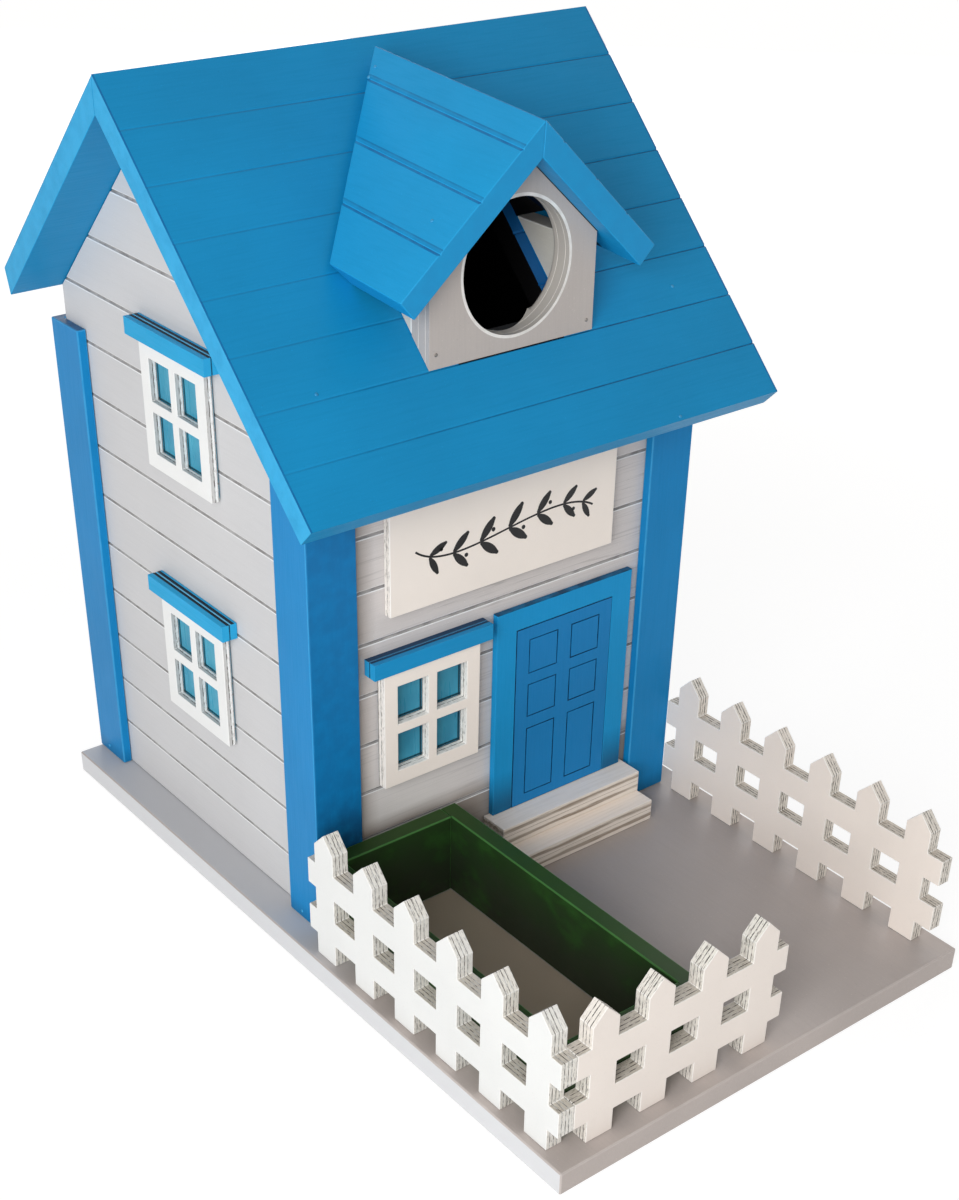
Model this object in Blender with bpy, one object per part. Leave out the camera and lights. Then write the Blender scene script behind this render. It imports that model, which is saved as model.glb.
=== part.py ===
"""A painted wooden bird nest box: a cottage with a dormer entrance, a planter and picket fences.

Metres, +Z up, the front faces -Y. The origin lies under the middle of the whole model, at the
underside of the base board. Heights named "above the base" count from the base board's top face.
"""

import math

import bmesh
import bpy
from mathutils import Matrix, Vector

# Gaps and clearances
SEAT_GAP = 0.0003          # between two pieces that touch
CUT_OVERRUN = 0.004        # how far a cutter runs past the faces that it opens

# Base board
BASE_WIDTH = 0.250
BASE_DEPTH = 0.410
BASE_THICK = 0.012
BASE_EDGE_BEVEL = 0.0006
ROOF_SIDE_SHIFT = 0.00275  # the roof sits this far to the left of the base board's middle

# Walls and corner posts
HOUSE_WIDTH = 0.2136
HOUSE_DEPTH = 0.2061
WALL_THICK = 0.010
PLANK_PITCH = 0.0262
SIDE_FIRST_GROOVE = 0.0258  # above the base
FRONT_FIRST_GROOVE = 0.0130
WALL_GROOVE_WIDTH = 0.0014
WALL_GROOVE_DEPTH = 0.0010
POST_PROUD = 0.0052        # how far a corner post stands out from the walls
POST_FACE = 0.026
FRONT_POST_CLEARANCE = 0.0088  # from a post's top to the roof over its outer face
REAR_POST_CLEARANCE = 0.0112

# Main roof
RIDGE_SETBACK = 0.1043     # from the front wall's face
ROOF_PITCH = math.radians(44.3)
ROOF_LENGTH = 0.2605
ROOF_THICK = 0.011
FRONT_OVERHANG = 0.0424    # level reach of an eave beyond the wall under it
REAR_OVERHANG = 0.0043
REAR_END_LEAN = 0.0062     # the rear eave's end cut leans out by this much
ROOF_PLANK_PITCH = 0.0256
ROOF_GROOVE_WIDTH = 0.0015
ROOF_GROOVE_DEPTH = 0.0008

# Dormer
DORMER_FACE_RUN = 0.1101   # level distance from the main ridge to the dormer's front face
DORMER_WIDTH = 0.090
DORMER_BOARD_THICK = 0.012
DORMER_CHEEK_THICK = 0.010
CHEEK_CLEARANCE = 0.0024   # from a cheek's level top edge to the roof panel over it
DORMER_PITCH = math.radians(42.0)
DORMER_RISE = math.radians(4.18)  # the dormer's ridge climbs towards the main ridge
DORMER_RIDGE_DROP = 0.0098  # from the main ridge to the front end of the dormer's ridge
DORMER_OVERHANG = 0.0166
DORMER_SLOPE = 0.092
DORMER_ROOF_THICK = 0.011
DORMER_GROOVE_SHARES = (0.158, 0.446, 0.728)
DORMER_VALLEY_CUT = 0.0105  # the panels end this far short of the line where the outer faces meet
ENTRANCE_DIAMETER = 0.0573
ENTRANCE_DROP = 0.0620     # from the dormer's ridge end to the hole's centre
ENTRANCE_SIDE_SHIFT = 0.0012
ENTRANCE_SEGMENTS = 96
OPENING_SIDE_LEDGE = 0.0058
OPENING_UNDER_BOARD = 0.0035  # how far the roof's opening reaches under the front board
OPENING_LENGTH = 0.0546

# Front door, its frame and steps; widths are shares of the wall between the corner posts
DOOR_FRAME_SHARE = 0.495
LINTEL_SHARE = 0.395
DOOR_HEIGHT = 0.101
DOOR_HEAD = 0.0115
DOOR_JAMB = 0.012
DOOR_THICK = 0.0035
DOOR_COLUMN_SHARES = (0.130, 0.300, 0.140, 0.300, 0.130)
DOOR_ROW_SHARES = (0.055, 0.383, 0.065, 0.182, 0.060, 0.187, 0.068)
PANEL_LINE_WIDTH = 0.0007
PANEL_LINE_DEPTH = 0.0006
STEP_RISE = 0.012
STEP_OVERHANG = 0.0032
LOWER_STEP_DEPTH = 0.0279
UPPER_STEP_DEPTH = 0.0166

# Sign board over the door
SIGN_WIDTH_SHARE = 0.766
SIGN_LEFT_SHARE = 0.1035
SIGN_HEIGHT = 0.050
SIGN_THICK = 0.0045
SIGN_ABOVE_DOOR = 0.0187
WALL_ABOVE_SIGN = 0.0495

# Windows and their lintels
WINDOW_HEIGHT = 0.0605
WINDOW_BORDER = 0.0076
WINDOW_BAR = 0.0050
PANE_THICK = 0.0006
PANE_INSET = 0.0012        # from the window frame's outline to the pane behind it
FRONT_FRAME_THICK = 0.0055
SIDE_FRAME_THICK = 0.0040
LINTEL_HEIGHT = 0.0080
LINTEL_THICK = 0.0080
LINTEL_OVERHANG = 0.0062
LINTEL_SEAM_WIDTH = 0.0006
LINTEL_SEAM_DEPTH = 0.0004
SIDE_WINDOW_RUN = 0.0973   # from the front wall's face to the middle of a side window
STOREY_HEIGHT = 0.1272     # from a lower side window up to the one over it

# Planter box
PLANTER_WIDTH = 0.0811
PLANTER_HEIGHT = 0.0438
PLANTER_BOARD = 0.009

# Picket fences
FENCE_INSET = 0.0040       # from the base board's left edge
FENCE_FRONT_INSET = 0.0077
FENCE_THICK = 0.0085
RIGHT_FENCE_INSET = 0.0066
RIGHT_FENCE_THICK = 0.0070
PICKET_WIDTH = 0.0146
PICKET_SHOULDER = 0.0628   # above the base, as the rails and tips
PICKET_TIP = 0.0705
LOWER_RAIL_BOTTOM = 0.0119
LOWER_RAIL_TOP = 0.0256
UPPER_RAIL_BOTTOM = 0.0382
UPPER_RAIL_TOP = 0.0519
SIDE_PICKETS = 6
FRONT_PICKETS = 4
FRONT_FENCE_LENGTH = 0.1212
LEFT_STUB = 0.0067         # rail ends beyond the first and last pickets
LEFT_REAR_STUB = 0.0059
LEFT_POST_GAP = 0.0054
FRONT_STUB = 0.0073
RIGHT_STUB = 0.0093
RIGHT_REAR_STUB = 0.0075

# Clean-out door in the rear wall
CLEANOUT_WIDTH = 0.120
CLEANOUT_HEIGHT = 0.130
CLEANOUT_SILL = 0.022      # above the base
CLEANOUT_CLEARANCE = 0.0015
HINGE_HEIGHT = 0.024
HINGE_END_SPACE = 0.016    # from the door's end to the hinge
LEAF_WIDTH = 0.013
LEAF_THICK = 0.0010
KNUCKLE_RADIUS = 0.0021
PIN_RADIUS = 0.00090
HINGE_PLAY = 0.0003
PIN_HEAD = 0.0006
ROUND_SEGMENTS = 24
KNOB_HEAD_RADIUS = 0.0070
KNOB_NECK_RADIUS = 0.0035
KNOB_NECK_HEIGHT = 0.0018
KNOB_HEIGHT = 0.0046
KNOB_EDGE_ROUND = 0.0010
KNOB_EDGE_STEPS = 4
KNOB_INSET = 0.014         # from the door's free edge
CATCH_HEIGHT = 0.018
CATCH_WIDTH = 0.014
CATCH_DEPTH = 0.006
CATCH_REACH = 0.0060       # how far the catch reaches behind the door
PLATE_HEIGHT = 0.014
PLATE_WIDTH = 0.0080
PLATE_THICK = 0.0010

# Places that follow from the sizes above
BASE_LEFT = ROOF_SIDE_SHIFT - BASE_WIDTH / 2
BASE_RIGHT = ROOF_SIDE_SHIFT + BASE_WIDTH / 2
BASE_FRONT = -BASE_DEPTH / 2
BASE_REAR = BASE_DEPTH / 2
GROUND = BASE_THICK
HOUSE_LEFT = ROOF_SIDE_SHIFT - HOUSE_WIDTH / 2
HOUSE_RIGHT = ROOF_SIDE_SHIFT + HOUSE_WIDTH / 2
HOUSE_REAR = BASE_REAR - POST_PROUD
HOUSE_FRONT = HOUSE_REAR - HOUSE_DEPTH
POST_FRONT = HOUSE_FRONT - POST_PROUD
CLEAR_LEFT = HOUSE_LEFT - POST_PROUD + POST_FACE
CLEAR_WIDTH = HOUSE_WIDTH + 2 * POST_PROUD - 2 * POST_FACE
FACE_SPACE = CLEAR_WIDTH * (1 - DOOR_FRAME_SHARE - LINTEL_SHARE) / 3
LINTEL_LENGTH = CLEAR_WIDTH * LINTEL_SHARE
DOOR_FRAME_WIDTH = CLEAR_WIDTH * DOOR_FRAME_SHARE
DOOR_FRAME_LEFT = CLEAR_LEFT + 2 * FACE_SPACE + LINTEL_LENGTH
DOOR_BOTTOM = GROUND + 2 * STEP_RISE + SEAT_GAP
DOOR_TOP = DOOR_BOTTOM + DOOR_HEIGHT + SEAT_GAP + DOOR_HEAD
WINDOW_WIDTH = LINTEL_LENGTH - 2 * LINTEL_OVERHANG
WINDOW_TOP = DOOR_TOP - LINTEL_HEIGHT - SEAT_GAP
SIGN_BOTTOM = DOOR_TOP + SIGN_ABOVE_DOOR
WALL_TOP = SIGN_BOTTOM + SIGN_HEIGHT + WALL_ABOVE_SIGN
ROOF_UPRIGHT = ROOF_THICK / math.cos(ROOF_PITCH)
RIDGE_Z = WALL_TOP + RIDGE_SETBACK * math.tan(ROOF_PITCH) + ROOF_UPRIGHT
RIDGE = Vector((0.0, HOUSE_FRONT + RIDGE_SETBACK, RIDGE_Z))
FRONT_SLOPE = (RIDGE_SETBACK + FRONT_OVERHANG) / math.cos(ROOF_PITCH)
REAR_SLOPE = (HOUSE_DEPTH - RIDGE_SETBACK + REAR_OVERHANG) / math.cos(ROOF_PITCH)
DORMER_FACE = RIDGE.y - DORMER_FACE_RUN
DORMER_RIDGE = Vector((0.0, DORMER_FACE - DORMER_OVERHANG, RIDGE.z - DORMER_RIDGE_DROP))

# Each finish: colour, roughness, metallic
FINISHES = {
    "base grey": ((0.270, 0.250, 0.240), 0.55, 0.0),
    "wall grey": ((0.560, 0.545, 0.560), 0.60, 0.0),
    "roof blue": ((0.012, 0.210, 0.480), 0.50, 0.0),
    "post blue": ((0.020, 0.225, 0.560), 0.50, 0.0),
    "door blue": ((0.013, 0.180, 0.450), 0.50, 0.0),
    "pane teal": ((0.030, 0.300, 0.420), 0.35, 0.0),
    "bare plywood": ((0.580, 0.480, 0.380), 0.70, 0.0),
    "white paint": ((0.860, 0.830, 0.800), 0.55, 0.0),
    "planter green": ((0.012, 0.060, 0.016), 0.45, 0.0),
    "zinc": ((0.560, 0.570, 0.580), 0.35, 1.0),
    "black magnet": ((0.030, 0.030, 0.032), 0.50, 0.0),
}


def clear_scene():
    """Remove every object that the scene holds at the start."""
    for obj in list(bpy.data.objects):
        bpy.data.objects.remove(obj, do_unlink=True)


def material_for(name, finish):
    """A Principled material of one sub-part, in the given finish."""
    colour, roughness, metallic = FINISHES[finish]
    material = bpy.data.materials.new(name + "_finish")
    material.use_nodes = True
    shader = material.node_tree.nodes["Principled BSDF"]
    shader.inputs["Base Color"].default_value = (*colour, 1.0)
    shader.inputs["Roughness"].default_value = roughness
    shader.inputs["Metallic"].default_value = metallic
    material.diffuse_color = (*colour, 1.0)
    return material


def add_object(bm, name, finish, location=(0.0, 0.0, 0.0), turn=0.0):
    """Make an object of a mesh that is built about the origin, set down at its place."""
    bmesh.ops.recalc_face_normals(bm, faces=bm.faces)
    mesh = bpy.data.meshes.new(name)
    bm.to_mesh(mesh)
    bm.free()
    mesh.materials.append(material_for(name, finish))
    obj = bpy.data.objects.new(name, mesh)
    bpy.context.collection.objects.link(obj)
    obj.location = location
    obj.rotation_euler.z = turn
    return obj


def add_placed(bm, name, finish, origin):
    """Make an object of a mesh that is built at its final place, with its origin as given."""
    bmesh.ops.translate(bm, vec=-Vector(origin), verts=bm.verts)
    return add_object(bm, name, finish, origin)


def block(low, high):
    """A rectangular block between two corners."""
    low = Vector(low)
    high = Vector(high)
    bm = bmesh.new()
    size = Matrix.Diagonal((high - low).to_4d())
    size[3][3] = 1.0
    bmesh.ops.create_cube(bm, size=1.0, matrix=Matrix.Translation((low + high) / 2) @ size)
    return bm


def prism(outline, origin, run, depth, along):
    """Extrude a flat outline, given in run and depth, by the vector along."""
    bm = bmesh.new()
    verts = [bm.verts.new(origin + run * a + depth * b) for a, b in outline]
    face = bm.faces.new(verts)
    extruded = bmesh.ops.extrude_face_region(bm, geom=[face])
    moved = [item for item in extruded["geom"] if isinstance(item, bmesh.types.BMVert)]
    bmesh.ops.translate(bm, vec=along, verts=moved)
    return bm


def plate(across, up, thickness, is_open, tips=None):
    """A flat plate on a grid of lines, standing in XZ, with some of its cells left open.

    Its back is at y = 0 and its face at y = -thickness. tips gives cells whose top edge
    carries a pointed end, as the column's number and the tip's height.
    """
    bm = bmesh.new()
    corners = {}

    def corner(i, j):
        if (i, j) not in corners:
            corners[(i, j)] = bm.verts.new((across[i], 0.0, up[j]))
        return corners[(i, j)]

    for i in range(len(across) - 1):
        for j in range(len(up) - 1):
            if not is_open(i, j):
                bm.faces.new((corner(i, j), corner(i + 1, j), corner(i + 1, j + 1), corner(i, j + 1)))
    last = len(up) - 1
    for column, height in tips or ():
        middle = (across[column] + across[column + 1]) / 2
        tip = bm.verts.new((middle, 0.0, height))
        bm.faces.new((corner(column, last), corner(column + 1, last), tip))
    extruded = bmesh.ops.extrude_face_region(bm, geom=list(bm.faces))
    moved = [item for item in extruded["geom"] if isinstance(item, bmesh.types.BMVert)]
    bmesh.ops.translate(bm, vec=(0.0, -thickness, 0.0), verts=moved)
    return bm


def trim(bm, point, normal):
    """Cut away what lies beyond a plane, on the side that its normal points to, and close it."""
    everything = list(bm.verts) + list(bm.edges) + list(bm.faces)
    bmesh.ops.bisect_plane(bm, geom=everything, plane_co=point, plane_no=normal, clear_outer=True)
    rim = [edge for edge in bm.edges if edge.is_boundary]
    bmesh.ops.holes_fill(bm, edges=rim, sides=0)


def cut_out(obj, bm, name):
    """Open a piece with a cutter, by a Boolean that stays on it."""
    bmesh.ops.recalc_face_normals(bm, faces=bm.faces)
    mesh = bpy.data.meshes.new(name)
    bm.to_mesh(mesh)
    bm.free()
    cutter = bpy.data.objects.new(name, mesh)
    bpy.context.collection.objects.link(cutter)
    cutter.hide_render = True
    cutter.display_type = "WIRE"
    boolean = obj.modifiers.new(name, "BOOLEAN")
    boolean.operation = "DIFFERENCE"
    boolean.solver = "EXACT"
    boolean.object = cutter
    return cutter


def rod(radius, start, end, segments):
    """A round rod between two points."""
    start = Vector(start)
    end = Vector(end)
    span = end - start
    turn = span.to_track_quat("Z", "Y").to_matrix().to_4x4()
    place = Matrix.Translation((start + end) / 2) @ turn
    bm = bmesh.new()
    bmesh.ops.create_cone(
        bm, cap_ends=True, segments=segments, radius1=radius, radius2=radius, depth=span.length, matrix=place
    )
    return bm


def shade_round(obj):
    """Shade a turned piece smooth, apart from its sharp edges."""
    obj.data.shade_smooth()
    obj.data.set_sharp_from_angle(angle=math.radians(40))


def planked_outline(low, high, thickness, first, pitch, groove_width, groove_depth, lean=0.0):
    """The section across a board whose outer face, at depth 0, has a V groove at each plank's edge."""
    outline = [(low, 0.0)]
    centre = first
    while centre < high - groove_width:
        if centre > low + groove_width:
            outline.append((centre - groove_width / 2, 0.0))
            outline.append((centre, groove_depth))
            outline.append((centre + groove_width / 2, 0.0))
        centre += pitch
    outline.append((high, 0.0))
    outline.append((high + lean, thickness))
    outline.append((low, thickness))
    return outline


def wall_outline(low, high, first):
    """The section of a wall between two heights above the base."""
    return planked_outline(low, high, WALL_THICK, first, PLANK_PITCH, WALL_GROOVE_WIDTH, WALL_GROOVE_DEPTH)


def roof_normal(side):
    """The outward direction of the main roof: side -1 is the front slope and 1 the rear one."""
    return Vector((0.0, side * math.sin(ROOF_PITCH), math.cos(ROOF_PITCH)))


def roof_point(side, depth):
    """A point of the main roof, at a depth below the outer face of one slope."""
    return RIDGE - roof_normal(side) * depth


def dormer_axes(side):
    """The dormer roof's own directions: down the slope, along the ridge, and outward."""
    ridge = Vector((0.0, math.cos(DORMER_RISE), math.sin(DORMER_RISE)))
    upright = Vector((0.0, -math.sin(DORMER_RISE), math.cos(DORMER_RISE)))
    level = Vector((side, 0.0, 0.0))
    down = level * math.cos(DORMER_PITCH) - upright * math.sin(DORMER_PITCH)
    outward = level * math.sin(DORMER_PITCH) + upright * math.cos(DORMER_PITCH)
    return down, ridge, outward


def make_base_board():
    """The base board, with its edges just broken."""
    bm = block((BASE_LEFT, BASE_FRONT, 0.0), (BASE_RIGHT, BASE_REAR, GROUND))
    obj = add_placed(bm, "base_board", "base grey", (ROOF_SIDE_SHIFT, 0.0, 0.0))
    bevel = obj.modifiers.new("edges", "BEVEL")
    bevel.width = BASE_EDGE_BEVEL
    bevel.segments = 1


def make_side_wall(name, side):
    """A side wall with its gable, grooved outside and cut to the roof's two slopes."""
    outer = HOUSE_LEFT if side < 0 else HOUSE_RIGHT
    outline = wall_outline(SEAT_GAP, RIDGE.z - GROUND, SIDE_FIRST_GROOVE)
    origin = Vector((outer, HOUSE_FRONT, GROUND))
    along = Vector((0.0, HOUSE_DEPTH, 0.0))
    bm = prism(outline, origin, Vector((0, 0, 1)), Vector((-side, 0, 0)), along)
    for slope in (-1, 1):
        trim(bm, roof_point(slope, ROOF_THICK + SEAT_GAP), roof_normal(slope))
    add_placed(bm, name, "wall grey", origin)


def cross_wall(face, facing):
    """The front or the rear wall between the side walls, cut to the slope that it carries."""
    left = HOUSE_LEFT + WALL_THICK + SEAT_GAP
    outline = wall_outline(SEAT_GAP, RIDGE.z - GROUND, FRONT_FIRST_GROOVE)
    origin = Vector((left, face, GROUND))
    along = Vector((HOUSE_WIDTH - 2 * WALL_THICK - 2 * SEAT_GAP, 0.0, 0.0))
    bm = prism(outline, origin, Vector((0, 0, 1)), Vector((0, -facing, 0)), along)
    trim(bm, roof_point(facing, ROOF_THICK + SEAT_GAP), roof_normal(facing))
    return bm


def make_front_wall():
    """The front wall, which carries the door, a window and the sign."""
    bm = cross_wall(HOUSE_FRONT, -1)
    add_placed(bm, "front_wall", "wall grey", (ROOF_SIDE_SHIFT, HOUSE_FRONT, GROUND))


def make_rear_wall():
    """The rear wall, with the opening of the clean-out door."""
    bm = cross_wall(HOUSE_REAR, 1)
    wall = add_placed(bm, "rear_wall", "wall grey", (ROOF_SIDE_SHIFT, HOUSE_REAR, GROUND))
    sill = GROUND + CLEANOUT_SILL
    low = (cleanout_left(), HOUSE_REAR - WALL_THICK - CUT_OVERRUN, sill)
    high = (cleanout_right(), HOUSE_REAR + CUT_OVERRUN, sill + CLEANOUT_HEIGHT)
    cut_out(wall, block(low, high), "cleanout_opening")


def post_height(run, clearance):
    """The height of a corner post whose outer face is a level run away from the ridge."""
    underside = RIDGE.z - run * math.tan(ROOF_PITCH) - ROOF_UPRIGHT
    return underside - clearance - GROUND - SEAT_GAP


def make_posts():
    """Four angled corner posts, each wrapped round a corner of the walls."""
    leg = POST_PROUD - SEAT_GAP
    outline = [(0, 0), (POST_FACE, 0), (POST_FACE, leg), (leg, leg), (leg, POST_FACE), (0, POST_FACE)]
    left = HOUSE_LEFT - POST_PROUD
    right = HOUSE_RIGHT + POST_PROUD
    rear = HOUSE_REAR + POST_PROUD
    front_height = post_height(RIDGE.y - POST_FRONT, FRONT_POST_CLEARANCE)
    rear_height = post_height(rear - RIDGE.y, REAR_POST_CLEARANCE)
    corners = (
        ("post_front_left", left, POST_FRONT, front_height),
        ("post_front_right", right, POST_FRONT, front_height),
        ("post_rear_right", right, rear, rear_height),
        ("post_rear_left", left, rear, rear_height),
    )
    for turns, (name, x, y, height) in enumerate(corners):
        bm = prism(outline, Vector(), Vector((1, 0, 0)), Vector((0, 1, 0)), Vector((0, 0, height)))
        add_object(bm, name, "post blue", (x, y, GROUND + SEAT_GAP), turns * math.radians(90))


def make_roof_panel(name, side, slope, lean):
    """One grooved slope of the main roof, mitred where it meets the other at the ridge."""
    outline = planked_outline(
        0.0, slope, ROOF_THICK, ROOF_PLANK_PITCH, ROOF_PLANK_PITCH, ROOF_GROOVE_WIDTH, ROOF_GROOVE_DEPTH, lean
    )
    down = Vector((0.0, side * math.cos(ROOF_PITCH), -math.sin(ROOF_PITCH)))
    origin = RIDGE - Vector((ROOF_LENGTH / 2, 0.0, 0.0))
    bm = prism(outline, origin, down, -roof_normal(side), Vector((ROOF_LENGTH, 0.0, 0.0)))
    mitre = Vector((0.0, RIDGE.y + side * SEAT_GAP / 2, 0.0))
    trim(bm, mitre, Vector((0.0, -side, 0.0)))
    return add_placed(bm, name, "roof blue", RIDGE)


def make_main_roof():
    """The long front slope, opened under the dormer, and the short rear slope."""
    front = make_roof_panel("roof_front", -1, FRONT_SLOPE, 0.0)
    make_roof_panel("roof_rear", 1, REAR_SLOPE, REAR_END_LEAN)
    half = DORMER_WIDTH / 2 - DORMER_CHEEK_THICK - OPENING_SIDE_LEDGE
    near = DORMER_FACE + DORMER_BOARD_THICK - OPENING_UNDER_BOARD
    low = (-half, near, GROUND)
    high = (half, near + OPENING_LENGTH, RIDGE.z + CUT_OVERRUN)
    cut_out(front, block(low, high), "dormer_opening")


def dormer_underside(side):
    """The plane just below one dormer roof panel, as a point and its upward normal."""
    outward = dormer_axes(side)[2]
    return DORMER_RIDGE - outward * (DORMER_ROOF_THICK + SEAT_GAP), outward


def make_dormer_board():
    """The dormer's front board: its head fits the two panels, its foot the slope, with a round hole."""
    half = DORMER_WIDTH / 2
    low = (-half, DORMER_FACE, GROUND)
    high = (half, DORMER_FACE + DORMER_BOARD_THICK, RIDGE.z)
    bm = block(low, high)
    for side in (-1, 1):
        trim(bm, *dormer_underside(side))
    trim(bm, roof_point(-1, -SEAT_GAP), -roof_normal(-1))
    board = add_placed(bm, "dormer_front_board", "wall grey", (0.0, DORMER_FACE, DORMER_RIDGE.z))
    height = DORMER_RIDGE.z - ENTRANCE_DROP
    start = (ENTRANCE_SIDE_SHIFT, DORMER_FACE - CUT_OVERRUN, height)
    end = (ENTRANCE_SIDE_SHIFT, DORMER_FACE + DORMER_BOARD_THICK + CUT_OVERRUN, height)
    cutter = rod(ENTRANCE_DIAMETER / 2, start, end, ENTRANCE_SEGMENTS)
    cut_out(board, cutter, "entrance_hole")


def make_dormer_cheek(name, side):
    """A three-cornered cheek with a level top, behind the front board and on the main roof."""
    outer = side * DORMER_WIDTH / 2
    inner = outer - side * DORMER_CHEEK_THICK
    front = DORMER_FACE + DORMER_BOARD_THICK + SEAT_GAP
    point, normal = dormer_underside(side)
    ceiling = point.z - (normal.x * (outer - point.x) + normal.y * (front - point.y)) / normal.z
    low = (min(outer, inner), front, GROUND)
    high = (max(outer, inner), RIDGE.y, ceiling - CHEEK_CLEARANCE)
    bm = block(low, high)
    trim(bm, roof_point(-1, -SEAT_GAP), -roof_normal(-1))
    add_placed(bm, name, "wall grey", (outer, front, DORMER_RIDGE.z))


def valley_line(side):
    """Where a dormer panel's outer face would meet the main roof: a point and the line's direction."""
    _, ridge, outward = dormer_axes(side)
    normal = roof_normal(-1)
    reach = (RIDGE - DORMER_RIDGE).dot(normal) / ridge.dot(normal)
    return DORMER_RIDGE + ridge * reach, outward.cross(normal).normalized()


def make_dormer_panel(name, side):
    """A dormer roof panel: mitred at the ridge, cut along the valley and laid on the main roof."""
    down, ridge, outward = dormer_axes(side)
    outline = [(0.0, 0.0)]
    for share in DORMER_GROOVE_SHARES:
        centre = DORMER_SLOPE * share
        outline.append((centre - ROOF_GROOVE_WIDTH / 2, 0.0))
        outline.append((centre, ROOF_GROOVE_DEPTH))
        outline.append((centre + ROOF_GROOVE_WIDTH / 2, 0.0))
    outline += [(DORMER_SLOPE, 0.0), (DORMER_SLOPE, DORMER_ROOF_THICK), (0.0, DORMER_ROOF_THICK)]
    bm = prism(outline, DORMER_RIDGE, down, -outward, ridge * RIDGE_SETBACK * 2)
    trim(bm, Vector((side * SEAT_GAP / 2, 0.0, 0.0)), Vector((-side, 0.0, 0.0)))
    meeting, valley = valley_line(side)
    square = valley.cross(outward)
    if square.y < 0:
        square = -square
    trim(bm, meeting - ridge * DORMER_VALLEY_CUT, square)
    trim(bm, roof_point(-1, -SEAT_GAP), -roof_normal(-1))
    add_placed(bm, name, "roof blue", DORMER_RIDGE)


def make_dormer():
    """The dormer: its pierced front board, two cheeks and two roof panels."""
    make_dormer_board()
    make_dormer_cheek("dormer_cheek_left", -1)
    make_dormer_cheek("dormer_cheek_right", 1)
    make_dormer_panel("dormer_roof_left", -1)
    make_dormer_panel("dormer_roof_right", 1)


def running_total(lengths):
    """The lines between lengths laid end to end, from 0."""
    lines = [0.0]
    for length in lengths:
        lines.append(lines[-1] + length)
    return lines


def window_lines(size):
    """The grid lines across or up a two-by-two window frame."""
    pane = (size - 2 * WINDOW_BORDER - WINDOW_BAR) / 2
    return running_total((WINDOW_BORDER, pane, WINDOW_BAR, pane, WINDOW_BORDER))


def window_frame(thickness):
    """A window frame with four openings, its back at y = 0 and its middle at x = 0."""
    across = [line - WINDOW_WIDTH / 2 for line in window_lines(WINDOW_WIDTH)]
    up = window_lines(WINDOW_HEIGHT)
    return plate(across, up, thickness, lambda i, j: i in (1, 3) and j in (1, 3))


def lintel():
    """A lintel of two layers, with a fine seam between them along its top and underside."""
    middle = -LINTEL_THICK / 2
    half = LINTEL_SEAM_WIDTH / 2
    outline = [
        (0.0, 0.0),
        (middle + half, 0.0), (middle, LINTEL_SEAM_DEPTH), (middle - half, 0.0),
        (-LINTEL_THICK, 0.0),
        (-LINTEL_THICK, LINTEL_HEIGHT),
        (middle - half, LINTEL_HEIGHT), (middle, LINTEL_HEIGHT - LINTEL_SEAM_DEPTH),
        (middle + half, LINTEL_HEIGHT),
        (0.0, LINTEL_HEIGHT),
    ]
    start = Vector((-LINTEL_LENGTH / 2, 0.0, 0.0))
    return prism(outline, start, Vector((0, 1, 0)), Vector((0, 0, 1)), Vector((LINTEL_LENGTH, 0, 0)))


def make_windows():
    """One window on the front wall and two on each side wall, each with a thin pane and a lintel."""
    front_middle = CLEAR_LEFT + FACE_SPACE + LINTEL_LENGTH / 2
    side_middle = HOUSE_FRONT + SIDE_WINDOW_RUN
    quarter = math.radians(90)
    places = [
        ("front", Vector((front_middle, HOUSE_FRONT, WINDOW_TOP)), 0.0),
        ("left_lower", Vector((HOUSE_LEFT, side_middle, WINDOW_TOP)), -quarter),
        ("left_upper", Vector((HOUSE_LEFT, side_middle, WINDOW_TOP + STOREY_HEIGHT)), -quarter),
        ("right_lower", Vector((HOUSE_RIGHT, side_middle, WINDOW_TOP)), quarter),
        ("right_upper", Vector((HOUSE_RIGHT, side_middle, WINDOW_TOP + STOREY_HEIGHT)), quarter),
    ]
    half = WINDOW_WIDTH / 2 - PANE_INSET
    pane_low = (-half, -PANE_THICK, PANE_INSET)
    pane_high = (half, 0.0, WINDOW_HEIGHT - PANE_INSET)
    for place, top, turn in places:
        thickness = SIDE_FRAME_THICK if turn else FRONT_FRAME_THICK
        outward = Vector((math.sin(turn), -math.cos(turn), 0.0))
        sill = top - Vector((0.0, 0.0, WINDOW_HEIGHT))
        pane_back = sill + outward * SEAT_GAP
        frame_back = pane_back + outward * (PANE_THICK + SEAT_GAP)
        lintel_back = top + outward * SEAT_GAP + Vector((0.0, 0.0, SEAT_GAP))
        add_object(block(pane_low, pane_high), "window_" + place + "_pane", "pane teal", pane_back, turn)
        add_object(window_frame(thickness), "window_" + place + "_frame", "white paint", frame_back, turn)
        add_object(lintel(), "lintel_" + place, "post blue", lintel_back, turn)


def make_door_frame():
    """The door frame: two jambs and a head, in one piece."""
    inner = DOOR_FRAME_WIDTH - 2 * DOOR_JAMB
    across = running_total((DOOR_JAMB, inner, DOOR_JAMB))
    up = running_total((DOOR_HEIGHT + SEAT_GAP, DOOR_HEAD))
    bm = plate(across, up, DOOR_THICK, lambda i, j: (i, j) == (1, 0))
    place = (DOOR_FRAME_LEFT, HOUSE_FRONT - SEAT_GAP, DOOR_BOTTOM)
    add_object(bm, "door_frame", "post blue", place)


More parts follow.
